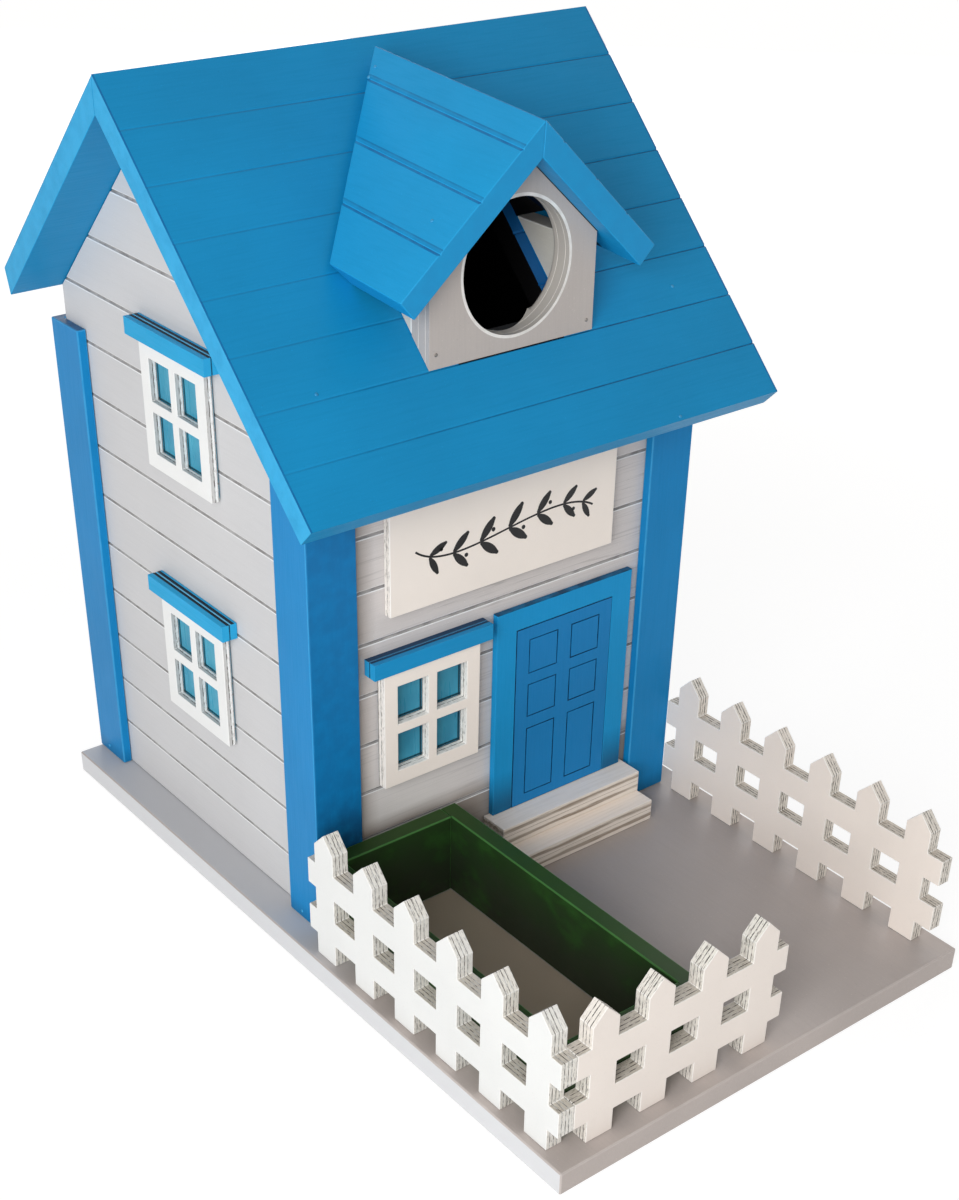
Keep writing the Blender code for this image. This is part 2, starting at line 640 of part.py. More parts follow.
def engrave(bm, face):
    """Sink a narrow line into a face, just inside its edge."""
    ring = bmesh.ops.inset_region(bm, faces=[face], thickness=PANEL_LINE_WIDTH)["faces"]
    sunk = bmesh.ops.extrude_face_region(bm, geom=ring)["geom"]
    moved = [item for item in sunk if isinstance(item, bmesh.types.BMVert)]
    bmesh.ops.translate(bm, vec=(0.0, PANEL_LINE_DEPTH, 0.0), verts=moved)
    bmesh.ops.delete(bm, geom=ring, context="FACES")


def make_door_slab():
    """The door slab, with the outlines of six panels engraved on its face."""
    width = DOOR_FRAME_WIDTH - 2 * DOOR_JAMB - 2 * SEAT_GAP
    across = running_total([width * share for share in DOOR_COLUMN_SHARES])
    up = running_total([DOOR_HEIGHT * share for share in DOOR_ROW_SHARES])
    bm = plate(across, up, DOOR_THICK, lambda i, j: False)
    for i in (1, 3):
        for j in (1, 3, 5):
            middle = Vector(((across[i] + across[i + 1]) / 2, -DOOR_THICK, (up[j] + up[j + 1]) / 2))
            face = min(bm.faces, key=lambda item: (item.calc_center_median() - middle).length)
            engrave(bm, face)
    place = (DOOR_FRAME_LEFT + DOOR_JAMB + SEAT_GAP, HOUSE_FRONT - SEAT_GAP, DOOR_BOTTOM)
    add_object(bm, "door_slab", "door blue", place)


def make_steps():
    """Two bare plywood steps, one on the other, against the front wall."""
    left = DOOR_FRAME_LEFT - STEP_OVERHANG
    right = DOOR_FRAME_LEFT + DOOR_FRAME_WIDTH + STEP_OVERHANG
    rear = HOUSE_FRONT - SEAT_GAP
    steps = (("step_lower", LOWER_STEP_DEPTH), ("step_upper", UPPER_STEP_DEPTH))
    for number, (name, depth) in enumerate(steps):
        bottom = GROUND + number * STEP_RISE + SEAT_GAP
        top = GROUND + (number + 1) * STEP_RISE
        bm = block((left, HOUSE_FRONT - depth, bottom), (right, rear, top))
        add_placed(bm, name, "bare plywood", (left, rear, bottom))


def make_sign_board():
    """The plain sign board between the door and the eave."""
    left = CLEAR_LEFT + CLEAR_WIDTH * SIGN_LEFT_SHARE
    right = left + CLEAR_WIDTH * SIGN_WIDTH_SHARE
    rear = HOUSE_FRONT - SEAT_GAP
    bm = block((left, rear - SIGN_THICK, SIGN_BOTTOM), (right, rear, SIGN_BOTTOM + SIGN_HEIGHT))
    add_placed(bm, "sign_board", "white paint", (left, rear, SIGN_BOTTOM))


def make_planter():
    """Four boards that stand on the base as an open planter box, with the base as its floor."""
    left = BASE_LEFT + FENCE_INSET + FENCE_THICK + SEAT_GAP
    right = left + PLANTER_WIDTH
    front = BASE_FRONT + FENCE_FRONT_INSET + FENCE_THICK + SEAT_GAP
    rear = POST_FRONT - SEAT_GAP
    foot = GROUND + SEAT_GAP
    top = GROUND + PLANTER_HEIGHT
    inner_left = left + PLANTER_BOARD + SEAT_GAP
    inner_right = right - PLANTER_BOARD - SEAT_GAP
    boards = {
        "planter_left": ((left, front, foot), (left + PLANTER_BOARD, rear, top)),
        "planter_right": ((right - PLANTER_BOARD, front, foot), (right, rear, top)),
        "planter_front": ((inner_left, front, foot), (inner_right, front + PLANTER_BOARD, top)),
        "planter_rear": ((inner_left, rear - PLANTER_BOARD, foot), (inner_right, rear, top)),
    }
    for name, (low, high) in boards.items():
        add_placed(block(low, high), name, "planter green", low)


def fence_panel(length, thickness, count, first_stub, last_stub):
    """A picket fence cut from one board: pickets with pointed tops, joined by two rails."""
    pitch = (length - first_stub - last_stub - PICKET_WIDTH) / (count - 1)
    spans = [first_stub] + [PICKET_WIDTH, pitch - PICKET_WIDTH] * (count - 1) + [PICKET_WIDTH, last_stub]
    across = running_total(spans)
    up = [SEAT_GAP, LOWER_RAIL_BOTTOM, LOWER_RAIL_TOP, UPPER_RAIL_BOTTOM, UPPER_RAIL_TOP, PICKET_SHOULDER]
    tips = [(2 * number + 1, PICKET_TIP) for number in range(count)]
    return plate(across, up, thickness, lambda i, j: i % 2 == 0 and j % 2 == 0, tips)


def make_fences():
    """The left, front and right fences, each standing on the base board near its edge."""
    quarter = math.radians(90)
    front = BASE_FRONT + FENCE_FRONT_INSET
    left = BASE_LEFT + FENCE_INSET
    left_length = POST_FRONT - LEFT_POST_GAP - front
    bm = fence_panel(left_length, FENCE_THICK, SIDE_PICKETS, LEFT_REAR_STUB, LEFT_STUB)
    add_object(bm, "fence_left", "white paint", (left + FENCE_THICK, front + left_length, GROUND), -quarter)
    bm = fence_panel(FRONT_FENCE_LENGTH, FENCE_THICK, FRONT_PICKETS, FRONT_STUB, FRONT_STUB)
    place = (left + FENCE_THICK + SEAT_GAP, front + FENCE_THICK, GROUND)
    add_object(bm, "fence_front", "white paint", place)
    right_length = POST_FRONT - SEAT_GAP - front
    bm = fence_panel(right_length, RIGHT_FENCE_THICK, SIDE_PICKETS, RIGHT_STUB, RIGHT_REAR_STUB)
    place = (BASE_RIGHT - RIGHT_FENCE_INSET - RIGHT_FENCE_THICK, front, GROUND)
    add_object(bm, "fence_right", "white paint", place, quarter)


def cleanout_left():
    """The opening's edge on the left, seen from the front."""
    return ROOF_SIDE_SHIFT - CLEANOUT_WIDTH / 2


def cleanout_right():
    """The opening's edge on the right, seen from the front, where the hinges are."""
    return ROOF_SIDE_SHIFT + CLEANOUT_WIDTH / 2


def hinge_axis():
    """A point on the upright line that the clean-out door turns about."""
    x = cleanout_right() - CLEANOUT_CLEARANCE / 2
    return Vector((x, HOUSE_REAR + SEAT_GAP + KNUCKLE_RADIUS, GROUND + CLEANOUT_SILL))


def hang(obj, pivot):
    """Hang a piece on the hinge: its origin goes to the pivot, which becomes its parent."""
    shift = pivot.location - obj.location
    obj.data.transform(Matrix.Translation(-shift))
    obj.parent = pivot
    obj.location = (0.0, 0.0, 0.0)


def make_cleanout_door():
    """The clean-out door, planked like the wall, with a pocket for the catch plate."""
    low = CLEANOUT_SILL + CLEANOUT_CLEARANCE
    high = CLEANOUT_SILL + CLEANOUT_HEIGHT - CLEANOUT_CLEARANCE
    left = cleanout_left() + CLEANOUT_CLEARANCE
    width = CLEANOUT_WIDTH - 2 * CLEANOUT_CLEARANCE
    origin = Vector((left, HOUSE_REAR, GROUND))
    outline = wall_outline(low, high, FRONT_FIRST_GROOVE)
    bm = prism(outline, origin, Vector((0, 0, 1)), Vector((0, -1, 0)), Vector((width, 0, 0)))
    door = add_placed(bm, "cleanout_door", "wall grey", origin)
    inner = HOUSE_REAR - WALL_THICK
    pocket_low, pocket_high = plate_corners()
    side_room = Vector((SEAT_GAP, 0.0, SEAT_GAP))
    pocket_low = pocket_low - side_room
    pocket_low.y = inner - CUT_OVERRUN
    pocket_high = pocket_high + side_room
    pocket_high.y = inner + PLATE_THICK + SEAT_GAP
    cutter = cut_out(door, block(pocket_low, pocket_high), "plate_pocket")
    return door, cutter


def plate_corners():
    """The corners of the catch plate, flush with the door's inner face at its free edge."""
    left = cleanout_left() + CLEANOUT_CLEARANCE + SEAT_GAP * 2
    middle = GROUND + CLEANOUT_SILL + CLEANOUT_HEIGHT / 2
    inner = HOUSE_REAR - WALL_THICK
    low = Vector((left, inner, middle - PLATE_HEIGHT / 2))
    high = Vector((left + PLATE_WIDTH, inner + PLATE_THICK, middle + PLATE_HEIGHT / 2))
    return low, high


def make_catch():
    """A magnet catch on the wall's inner face, and the steel plate that it holds."""
    left = cleanout_left() + CLEANOUT_CLEARANCE + CATCH_REACH - CATCH_WIDTH
    middle = GROUND + CLEANOUT_SILL + CLEANOUT_HEIGHT / 2
    face = HOUSE_REAR - WALL_THICK - SEAT_GAP
    low = (left, face - CATCH_DEPTH, middle - CATCH_HEIGHT / 2)
    high = (left + CATCH_WIDTH, face, middle + CATCH_HEIGHT / 2)
    add_placed(block(low, high), "catch_magnet", "black magnet", low)
    plate_low, plate_high = plate_corners()
    return add_placed(block(plate_low, plate_high), "catch_plate", "zinc", plate_low)


def hinge_leaf(side, bottom, rows):
    """A hinge leaf: a plate on one side of the axis, with a knuckle in each of the given rows.

    A hinge has three rows from the bottom up, and a leaf's plate is cut back beside the
    knuckles of the other leaf.
    """
    axis = hinge_axis()
    row = HINGE_HEIGHT / 3
    back = HOUSE_REAR + SEAT_GAP
    clear = KNUCKLE_RADIUS + HINGE_PLAY
    far = axis.x + side * LEAF_WIDTH
    near = axis.x + side * clear
    bm = block((min(near, far), back, bottom), (max(near, far), back + LEAF_THICK, bottom + HINGE_HEIGHT))
    leaf = add_placed(bm, "leaf", "zinc", (axis.x, back, bottom))
    for number in rows:
        low = bottom + number * row + HINGE_PLAY / 2
        high = bottom + (number + 1) * row - HINGE_PLAY / 2
        reach = near + side * LEAF_THICK
        tab = block((min(axis.x, reach), back, low), (max(axis.x, reach), back + LEAF_THICK, high))
        join(leaf, tab, "tab")
        barrel = rod(KNUCKLE_RADIUS, (axis.x, axis.y, low), (axis.x, axis.y, high), ROUND_SEGMENTS)
        join(leaf, barrel, "barrel")
    overrun = Vector((0.0, 0.0, CUT_OVERRUN))
    start = Vector((axis.x, axis.y, bottom)) - overrun
    end = Vector((axis.x, axis.y, bottom + HINGE_HEIGHT)) + overrun
    cut_out(leaf, rod(PIN_RADIUS + HINGE_PLAY, start, end, ROUND_SEGMENTS), "pin_bore")
    return leaf


def join(obj, bm, name):
    """Weld a shape onto a piece, by a Boolean union that stays on it."""
    cutter = cut_out(obj, bm, name)
    obj.modifiers[-1].operation = "UNION"
    return cutter


def make_hinge(name, bottom, pivot):
    """A butt hinge: one leaf on the wall, one on the door, and a headed pin through both."""
    axis = hinge_axis()
    wall_leaf = hinge_leaf(1, bottom, (0, 2))
    wall_leaf.name = name + "_wall_leaf"
    door_leaf = hinge_leaf(-1, bottom, (1,))
    door_leaf.name = name + "_door_leaf"
    for leaf in (wall_leaf, door_leaf):
        leaf.data.name = leaf.name
        shade_round(leaf)
    top = bottom + HINGE_HEIGHT
    pin_bottom = (axis.x, axis.y, bottom)
    bm = rod(PIN_RADIUS, pin_bottom, (axis.x, axis.y, top + SEAT_GAP), ROUND_SEGMENTS)
    pin = add_placed(bm, name + "_pin", "zinc", pin_bottom)
    head_start = (axis.x, axis.y, top + SEAT_GAP / 2)
    join(pin, rod(KNUCKLE_RADIUS, head_start, (axis.x, axis.y, top + PIN_HEAD), ROUND_SEGMENTS), "head")
    shade_round(pin)
    hang_with_cutters(door_leaf, pivot)


def hang_with_cutters(obj, pivot):
    """Hang a piece on the hinge, together with the shapes that its Booleans use."""
    for modifier in obj.modifiers:
        cutter = modifier.object
        cutter.parent = pivot
        cutter.location = cutter.location - pivot.location
    hang(obj, pivot)


def knob_profile():
    """The knob's outline from its axis: a neck, then a head with a rounded rim."""
    points = [(0.0, 0.0), (KNOB_NECK_RADIUS, 0.0), (KNOB_NECK_RADIUS, KNOB_NECK_HEIGHT)]
    points.append((KNOB_HEAD_RADIUS, KNOB_NECK_HEIGHT))
    centre_radius = KNOB_HEAD_RADIUS - KNOB_EDGE_ROUND
    centre_height = KNOB_HEIGHT - KNOB_EDGE_ROUND
    for step in range(KNOB_EDGE_STEPS + 1):
        angle = math.radians(90) * step / KNOB_EDGE_STEPS
        radius = centre_radius + KNOB_EDGE_ROUND * math.cos(angle)
        points.append((radius, centre_height + KNOB_EDGE_ROUND * math.sin(angle)))
    points.append((0.0, KNOB_HEIGHT))
    return points


def make_knob():
    """A low turned knob near the clean-out door's free edge."""
    x = cleanout_left() + CLEANOUT_CLEARANCE + KNOB_INSET
    foot = Vector((x, HOUSE_REAR + SEAT_GAP, GROUND + CLEANOUT_SILL + CLEANOUT_HEIGHT / 2))
    bm = bmesh.new()
    verts = [bm.verts.new((radius, height, 0.0)) for radius, height in knob_profile()]
    edges = [bm.edges.new(pair) for pair in zip(verts, verts[1:])]
    bmesh.ops.spin(
        bm, geom=verts + edges, cent=(0, 0, 0), axis=(0, 1, 0), angle=math.tau, steps=ROUND_SEGMENTS
    )
    bmesh.ops.remove_doubles(bm, verts=bm.verts, dist=PIN_RADIUS / 100)
    knob = add_object(bm, "cleanout_knob", "post blue", foot)
    shade_round(knob)
    return knob


def make_cleanout():
    """The clean-out door on its two hinges, with its knob and its magnet catch."""
    pivot = bpy.data.objects.new("cleanout_hinge", None)
    bpy.context.collection.objects.link(pivot)
    pivot.location = hinge_axis()
    door, cutter = make_cleanout_door()
    cutter.parent = pivot
    cutter.location = -pivot.location
    hang(door, pivot)
    hang(make_knob(), pivot)
    hang(make_catch(), pivot)
    lower = GROUND + CLEANOUT_SILL + HINGE_END_SPACE
    upper = GROUND + CLEANOUT_SILL + CLEANOUT_HEIGHT - HINGE_END_SPACE - HINGE_HEIGHT
    make_hinge("hinge_lower", lower, pivot)
    make_hinge("hinge_upper", upper, pivot)


def main():
    """Build the whole nest box."""
    clear_scene()
    make_base_board()
    make_front_wall()
    make_rear_wall()
    make_side_wall("left_wall", -1)
    make_side_wall("right_wall", 1)
    make_posts()
    make_main_roof()
    make_dormer()
    make_windows()
    make_door_frame()
    make_door_slab()
    make_steps()
    make_sign_board()
    make_planter()
    make_fences()
    make_cleanout()


main()
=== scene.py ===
# %% [markdown]
# # A painted cottage nest box
# The real object is a small wooden cottage for birds: planked walls, a grooved roof with a dormer
# that holds the round entrance, windows, a door, a planter box and picket fences. Its boards are
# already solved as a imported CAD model. This notebook dresses that model: every board gets softened
# edges and painted wood, and the small things that CAD leaves out are added.
#
# Everything is in metres, +Z is up, the front of the house faces -Y, and each finished piece has
# its object at the origin, with its place in its mesh.

import math

import bpy
from mathutils import Matrix, Vector


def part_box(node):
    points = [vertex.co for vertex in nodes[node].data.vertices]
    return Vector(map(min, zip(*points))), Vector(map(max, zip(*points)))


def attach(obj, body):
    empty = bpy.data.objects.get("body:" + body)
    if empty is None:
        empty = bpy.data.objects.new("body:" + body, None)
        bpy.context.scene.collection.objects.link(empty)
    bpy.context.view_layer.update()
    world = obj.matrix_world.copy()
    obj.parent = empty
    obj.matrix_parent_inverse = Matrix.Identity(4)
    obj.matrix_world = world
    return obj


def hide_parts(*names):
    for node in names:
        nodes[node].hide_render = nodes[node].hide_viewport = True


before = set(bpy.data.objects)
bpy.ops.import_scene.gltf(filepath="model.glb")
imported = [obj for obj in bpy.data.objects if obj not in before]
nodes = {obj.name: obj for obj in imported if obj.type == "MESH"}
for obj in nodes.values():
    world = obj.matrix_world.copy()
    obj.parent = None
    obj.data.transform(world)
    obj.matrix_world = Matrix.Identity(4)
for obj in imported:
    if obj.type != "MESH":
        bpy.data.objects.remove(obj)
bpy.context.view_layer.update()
scene = bpy.context.scene

# %% [markdown]
# ## The camera
# The photograph was solved for its camera beforehand. A camera can be aimed by hand, with a
# constraint, or by writing its axes. The axes are written here, because the picture has a small
# roll and its optical axis lies below its middle, which the lens shift gives back.

# %% Place the camera at the photograph's viewing angle
CAMERA_PLACE = Vector((-0.48714, -0.59716, 0.54744))
CAMERA_AZIMUTH = math.radians(-39.053)
CAMERA_ELEVATION = math.radians(34.806)
CAMERA_ROLL = math.radians(1.244)
LENS_MM = 54.495
SHIFT_UP = 0.2042


def camera_axes(azimuth, elevation, roll):
    """The camera's right, up and back directions."""
    level = math.cos(elevation)
    back = Vector((math.sin(azimuth) * level, -math.cos(azimuth) * level, math.sin(elevation)))
    right = (-back).cross(Vector((0.0, 0.0, 1.0))).normalized()
    up = right.cross(-back)
    turned_right = right * math.cos(roll) + up * math.sin(roll)
    turned_up = up * math.cos(roll) - right * math.sin(roll)
    return turned_right, turned_up, back


lens = bpy.data.cameras.new("photo_lens")
lens.lens = LENS_MM
lens.shift_y = SHIFT_UP
lens.clip_start = 0.01
camera = bpy.data.objects.new("photo_camera", lens)
scene.collection.objects.link(camera)
axes = Matrix(camera_axes(CAMERA_AZIMUTH, CAMERA_ELEVATION, CAMERA_ROLL)).transposed()
camera.matrix_world = Matrix.Translation(CAMERA_PLACE) @ axes.to_4x4()
scene.camera = camera
print("camera at", tuple(CAMERA_PLACE))

# %% [markdown]
# ## Short calls for nodes
# A material can be wired by hand in the shader editor. In code every node is one line if a helper
# makes it, sets it and plugs it in, so that each finish below reads like a recipe.

# %% Helpers for materials
X_AXIS, Y_AXIS, Z_AXIS = range(3)


def colour(code):
    """A colour as written on a screen, such as 2081B7, in the linear values that shaders use."""
    values = []
    for start in (0, 2, 4):
        value = int(code[start:start + 2], 16) / 255
        values.append(value / 12.92 if value <= 0.04045 else ((value + 0.055) / 1.055) ** 2.4)
    return (*values, 1.0)


def shade_of(base, factor):
    """A lighter or darker shade of a colour."""
    return (*[min(1.0, value * factor) for value in base[:3]], 1.0)


def add_node(tree, kind, inputs=None, **settings):
    """Add a node, set it up, and plug sockets or values into its inputs."""
    node = tree.nodes.new("ShaderNode" + kind)
    for key, value in settings.items():
        setattr(node, key, value)
    for key, value in (inputs or {}).items():
        if isinstance(value, bpy.types.NodeSocket):
            tree.links.new(value, node.inputs[key])
        else:
            node.inputs[key].default_value = value
    return node


def mix_colour(tree, factor, first, second):
    """Mix two colours; each may be a socket or a fixed colour."""
    node = add_node(tree, "Mix", {0: factor, 6: first, 7: second}, data_type="RGBA")
    return node.outputs[2]


def object_place(tree):
    """The place on the object."""
    return add_node(tree, "TexCoord").outputs["Object"]


def coordinate(tree, axis):
    """One coordinate of the place on the object."""
    return add_node(tree, "SeparateXYZ", {0: object_place(tree)}).outputs[axis]


def noise_at(tree, scale, detail=3.0, roughness=0.5):
    """A soft random pattern, with scale as its waves in a metre: one number, or one for each axis."""
    if isinstance(scale, float):
        scale = (scale, scale, scale)
    place = add_node(tree, "Mapping", {"Vector": object_place(tree), "Scale": scale}).outputs["Vector"]
    inputs = {"Vector": place, "Scale": 1.0, "Detail": detail, "Roughness": roughness}
    return add_node(tree, "TexNoise", inputs).outputs["Fac"]


def between(tree, value, low, high, start=0.0, end=1.0):
    """Map a value from one range to another, and hold it at the ends."""
    inputs = {"Value": value, "From Min": low, "From Max": high, "To Min": start, "To Max": end}
    return add_node(tree, "MapRange", inputs).outputs["Result"]


def calculate(tree, operation, *values):
    """One step of arithmetic on values or sockets."""
    return add_node(tree, "Math", dict(enumerate(values)), operation=operation).outputs[0]


def fading(tree, axis, full, gone):
    """1 from one level on an axis, falling to 0 at another."""
    return between(tree, coordinate(tree, axis), full, gone, 1.0, 0.0)


def marked(tree, name):
    """The faces that carry a mark of this name, as 1 on them and 0 elsewhere."""
    return add_node(tree, "Attribute", attribute_name=name).outputs["Fac"]


def lay(tree, tone, value, span, over):
    """Lay a colour over a tone where a value goes through a span: from, to, and the share at each."""
    return mix_colour(tree, between(tree, value, *span), tone, over)


def lay_on_mark(tree, tone, name, share, code):
    """Lay a share of a colour over the faces that carry a mark."""
    return mix_colour(tree, calculate(tree, "MULTIPLY", marked(tree, name), share), tone, colour(code))


def start_material(name, specular=0.5):
    """A new material: its node tree, its shader and itself."""
    material = bpy.data.materials.new(name)
    material.use_nodes = True
    tree = material.node_tree
    shader = tree.nodes["Principled BSDF"]
    shader.inputs["Specular IOR Level"].default_value = specular
    return material, tree, shader


def finish_surface(tree, shader, tone, rough, relief, strength, distance):
    """Plug the tone, the roughness and the relief of a finish into its shader."""
    tree.links.new(tone, shader.inputs["Base Color"])
    tree.links.new(rough, shader.inputs["Roughness"])
    bump = add_node(tree, "Bump", {"Strength": strength, "Distance": distance, "Height": relief})
    tree.links.new(bump.outputs["Normal"], shader.inputs["Normal"])


def along_scale(along, fine, long):
    """Waves in a metre on each axis for fibres that run along one of them."""
    return tuple(long if axis == along else fine for axis in range(3))


print("node helpers ready")

# %% [markdown]
# ## Painted wood
# The boards are sprayed wood. Up close such paint shows faint raised fibres along the board, a
# slow drift in tone, tiny pores and nibs of dust. An image texture could give this, but noise that
# is stretched along the board gives it at every scale without a file. Some faces are marked on the
# mesh: a sawn end takes a colour of its own, partly from its grain and partly as painted light and
# shade; a rounded edge gets a pale line, partly wear and partly a painted highlight; and a groove
# gets a darker colour, partly dirt and partly painted shade. Each such accent is a colour and a share
# of it, laid on in patches; a share of 1 covers its face evenly. A third entry limits an accent to
# one part of its faces.

# %% The recipe for painted wood


def painted_wood(name, body, along, accents, rough=0.5, fibre=0.12, drift=0.05, hairs=0.0, stains_and_shade=()):
    """Sprayed paint on a board whose fibres run along one axis, with accents on its marked faces."""
    material, tree, shader = start_material(name, specular=0.2)
    fibres = noise_at(tree, along_scale(along, 1100.0, 42.0), 4.0, 0.6)
    clouds = noise_at(tree, 19.0)
    nibs = noise_at(tree, 1700.0, 1.0)
    patches = noise_at(tree, 150.0)
    base = colour(body)
    tone = lay(tree, shade_of(base, 1 - drift), clouds, (0.3, 0.7), shade_of(base, 1 + drift))
    tone = lay(tree, tone, fibres, (0.45, 0.75, 0.0, fibre), shade_of(base, 0.55))
    tone = lay(tree, tone, nibs, (0.70, 0.80, 0.0, 0.45), shade_of(base, 1.5))
    tone = lay(tree, tone, nibs, (0.20, 0.28, 0.35, 0.0), shade_of(base, 0.5))
    if hairs:
        lines = noise_at(tree, along_scale(along, 330.0, 5.0), 1.0)
        off_line = calculate(tree, "ABSOLUTE", calculate(tree, "SUBTRACT", lines, 0.5))
        tone = lay(tree, tone, off_line, (0.004, 0.016, hairs, 0.0), shade_of(base, 0.45))
    # These stains are laid by height or place; they also carry painted shade and painted light, as listed
    # with the paints.
    for axis, full, gone, code, share in stains_and_shade:
        cover = between(tree, clouds, 0.35, 0.6, share * 0.6, share)
        amount = calculate(tree, "MULTIPLY", fading(tree, axis, full, gone), cover)
        tone = mix_colour(tree, amount, tone, colour(code))
    for mark_name, (code, share, *limit) in accents.items():
        amount = share if share == 1.0 else between(tree, patches, 0.30, 0.62, share * 0.55, share)
        for where in limit:
            amount = calculate(tree, "MULTIPLY", where(tree), amount)
        tone = lay_on_mark(tree, tone, mark_name, amount, code)
    relief = calculate(tree, "ADD", fibres, calculate(tree, "MULTIPLY", nibs, 0.5))
    roughness = between(tree, fibres, 0.3, 0.8, rough - 0.06, rough + 0.10)
    finish_surface(tree, shader, tone, roughness, relief, 0.3, 0.00012)
    return material


print("recipe for painted wood ready")

# %% [markdown]
# Five accents cover only a part of their faces. The faces could be cut there, but a cut across a
# groove leaves slivers, so the material finds each part from the place on the object.

# %% Where some accents lie
BOARD_FRONT = -0.0121
JOINT_LINE = 0.0008
CHEEK_OUTER = 0.0455
# From here back, the dormer's underside gets painted shade.
SOFFIT_DARK_FROM = 0.0010
HOLE_X = 0.0012
HOLE_Z = 0.3127
RING_RADIUS = 0.0300


def right_of_roof(tree):
    """More of the grooves' painted shade to the right: at the left, paint has nearly filled the roof's
    grooves.
    """
    return fading(tree, X_AXIS, 0.05, -0.17)


def near_planter(tree):
    """The low part of a front post, beside the planter's rim, that gets painted shadow."""
    return fading(tree, Z_AXIS, 0.055, 0.085)


def beside_house(tree):
    """The part of the base's top that runs along the left wall, which gets a cooler painted light."""
    at_left = fading(tree, X_AXIS, -0.100, -0.097)
    return calculate(tree, "MULTIPLY", at_left, fading(tree, Y_AXIS, 0.0, -0.060))


def round_the_hole(tree):
    """A thin ring on the face of the dormer board round the entrance, which gets a painted highlight."""
    squares = []
    for axis, middle in ((X_AXIS, HOLE_X), (Z_AXIS, HOLE_Z)):
        away = calculate(tree, "SUBTRACT", coordinate(tree, axis), middle)
        squares.append(calculate(tree, "MULTIPLY", away, away))
    return calculate(tree, "LESS_THAN", calculate(tree, "ADD", *squares), RING_RADIUS ** 2)


def under_dormer(tree):
    """The dormer's underside behind its board and between the cheeks' outer faces, and all of it further
    back: the part that gets painted shade.
    """
    behind = calculate(tree, "GREATER_THAN", coordinate(tree, Y_AXIS), BOARD_FRONT - JOINT_LINE)
    amid = calculate(tree, "LESS_THAN", calculate(tree, "ABSOLUTE", coordinate(tree, X_AXIS)), CHEEK_OUTER)
    beyond = calculate(tree, "GREATER_THAN", coordinate(tree, Y_AXIS), SOFFIT_DARK_FROM)
    return calculate(tree, "MAXIMUM", calculate(tree, "MULTIPLY", behind, amid), beyond)


print("five limits for accents ready")

# %% Mix the paints
# Near black for the faces inside the house and in the dark loft: painted shade, not a real colour.
PAINTED_SHADE_BLACK = ("0B0A0B", 1.0)
# Navy for the dormer's underside behind its board and for the soffit further back: painted shade.
PAINTED_SHADE_NAVY = ("0A2342", 1.0, under_dormer)
# Roof accents: the lighter end is partly painted light, the rim line and the groove colour are painted
# shade, and the lighter eave face is painted light.
roof_accents = {
    "end": ("33ABDF", 0.85), "edge": ("2A9CD2", 0.3), "rim": ("0D65A2", 0.9), "eave": ("1C96CE", 0.6),
    "groove": ("0B4C78", 0.8, right_of_roof), "inside": PAINTED_SHADE_BLACK, "shade": ("125F9E", 1.0),
}
roof_paint = painted_wood("roof_paint", "0F8CC3", X_AXIS, roof_accents, rough=0.46)
# Dormer accents: the darker ends are partly painted shade, and the groove, line and band colours are
# painted shade for the grooves and the unmodelled shoulders.
dormer_accents = {
    "end": ("1C8DC6", 0.8), "edge": ("2FA4DA", 0.35), "groove": ("006EAC", 0.95),
    "line": ("1272A8", 0.95), "band": ("1280B6", 0.8), "inside": PAINTED_SHADE_NAVY,
}
dormer_paint = painted_wood("dormer_paint", "1899D2", Y_AXIS, dormer_accents, rough=0.46)
knob_paint = painted_wood("knob_paint", "1284C0", Z_AXIS, {}, rough=0.4)
# Post accents: the darker front of the left front post is painted shade and its foot beside the planter
# painted shadow; the stain below darkens every post's foot, as painted shade.
post_accents = {
    "end": ("123F63", 0.9), "edge": ("4CAADC", 0.5), "front": ("0C6AA4", 0.8),
    "foot": ("0A2A4A", 0.8, near_planter),
}
post_foot_shade = (Z_AXIS, 0.0125, 0.021, "0A2A4A", 0.4)
post_paint = painted_wood("post_paint", "0883C2", Z_AXIS, post_accents, rough=0.44, stains_and_shade=[post_foot_shade])
# Lintel accents: the dark band at the back of the top, towards the wall, is painted shade.
lintel_accents = {
    "end": ("2FA6DA", 0.7), "edge": ("62C2EC", 0.45), "seam": ("0A1E2C", 0.95),
    "dark": ("061A2A", 1.0), "light": ("6DC0E6", 0.9),
}
front_lintel_accents = {
    **lintel_accents, "dark": ("183C5C", 1.0), "light": ("3F7196", 0.9), "edge": ("7CCBF0", 0.8),
}
lintel_paint = painted_wood("lintel_paint", "1592CC", X_AXIS, front_lintel_accents)
side_lintel_paint = painted_wood("side_lintel_paint", "1FA2D6", Y_AXIS, lintel_accents)
# The frame's dark top is partly dirt and partly painted shadow; the stain below darkens the frame's foot,
# as painted shade.
frame_accents = {"edge": ("2E9AD2", 0.4), "shade": ("0B3352", 0.9)}
frame_foot_shade = (Z_AXIS, 0.040, 0.060, "08233F", 0.8)
door_frame_paint = painted_wood("door_frame_paint", "0F95D2", Z_AXIS, frame_accents, stains_and_shade=[frame_foot_shade])
# The door's groove and shade marks are painted shadow in its engraved lines and round its slab.
door_accents = {"groove": ("082F50", 0.95), "shade": ("0B3352", 0.9)}
door_paint = painted_wood("door_paint", "1480C0", Z_AXIS, door_accents)
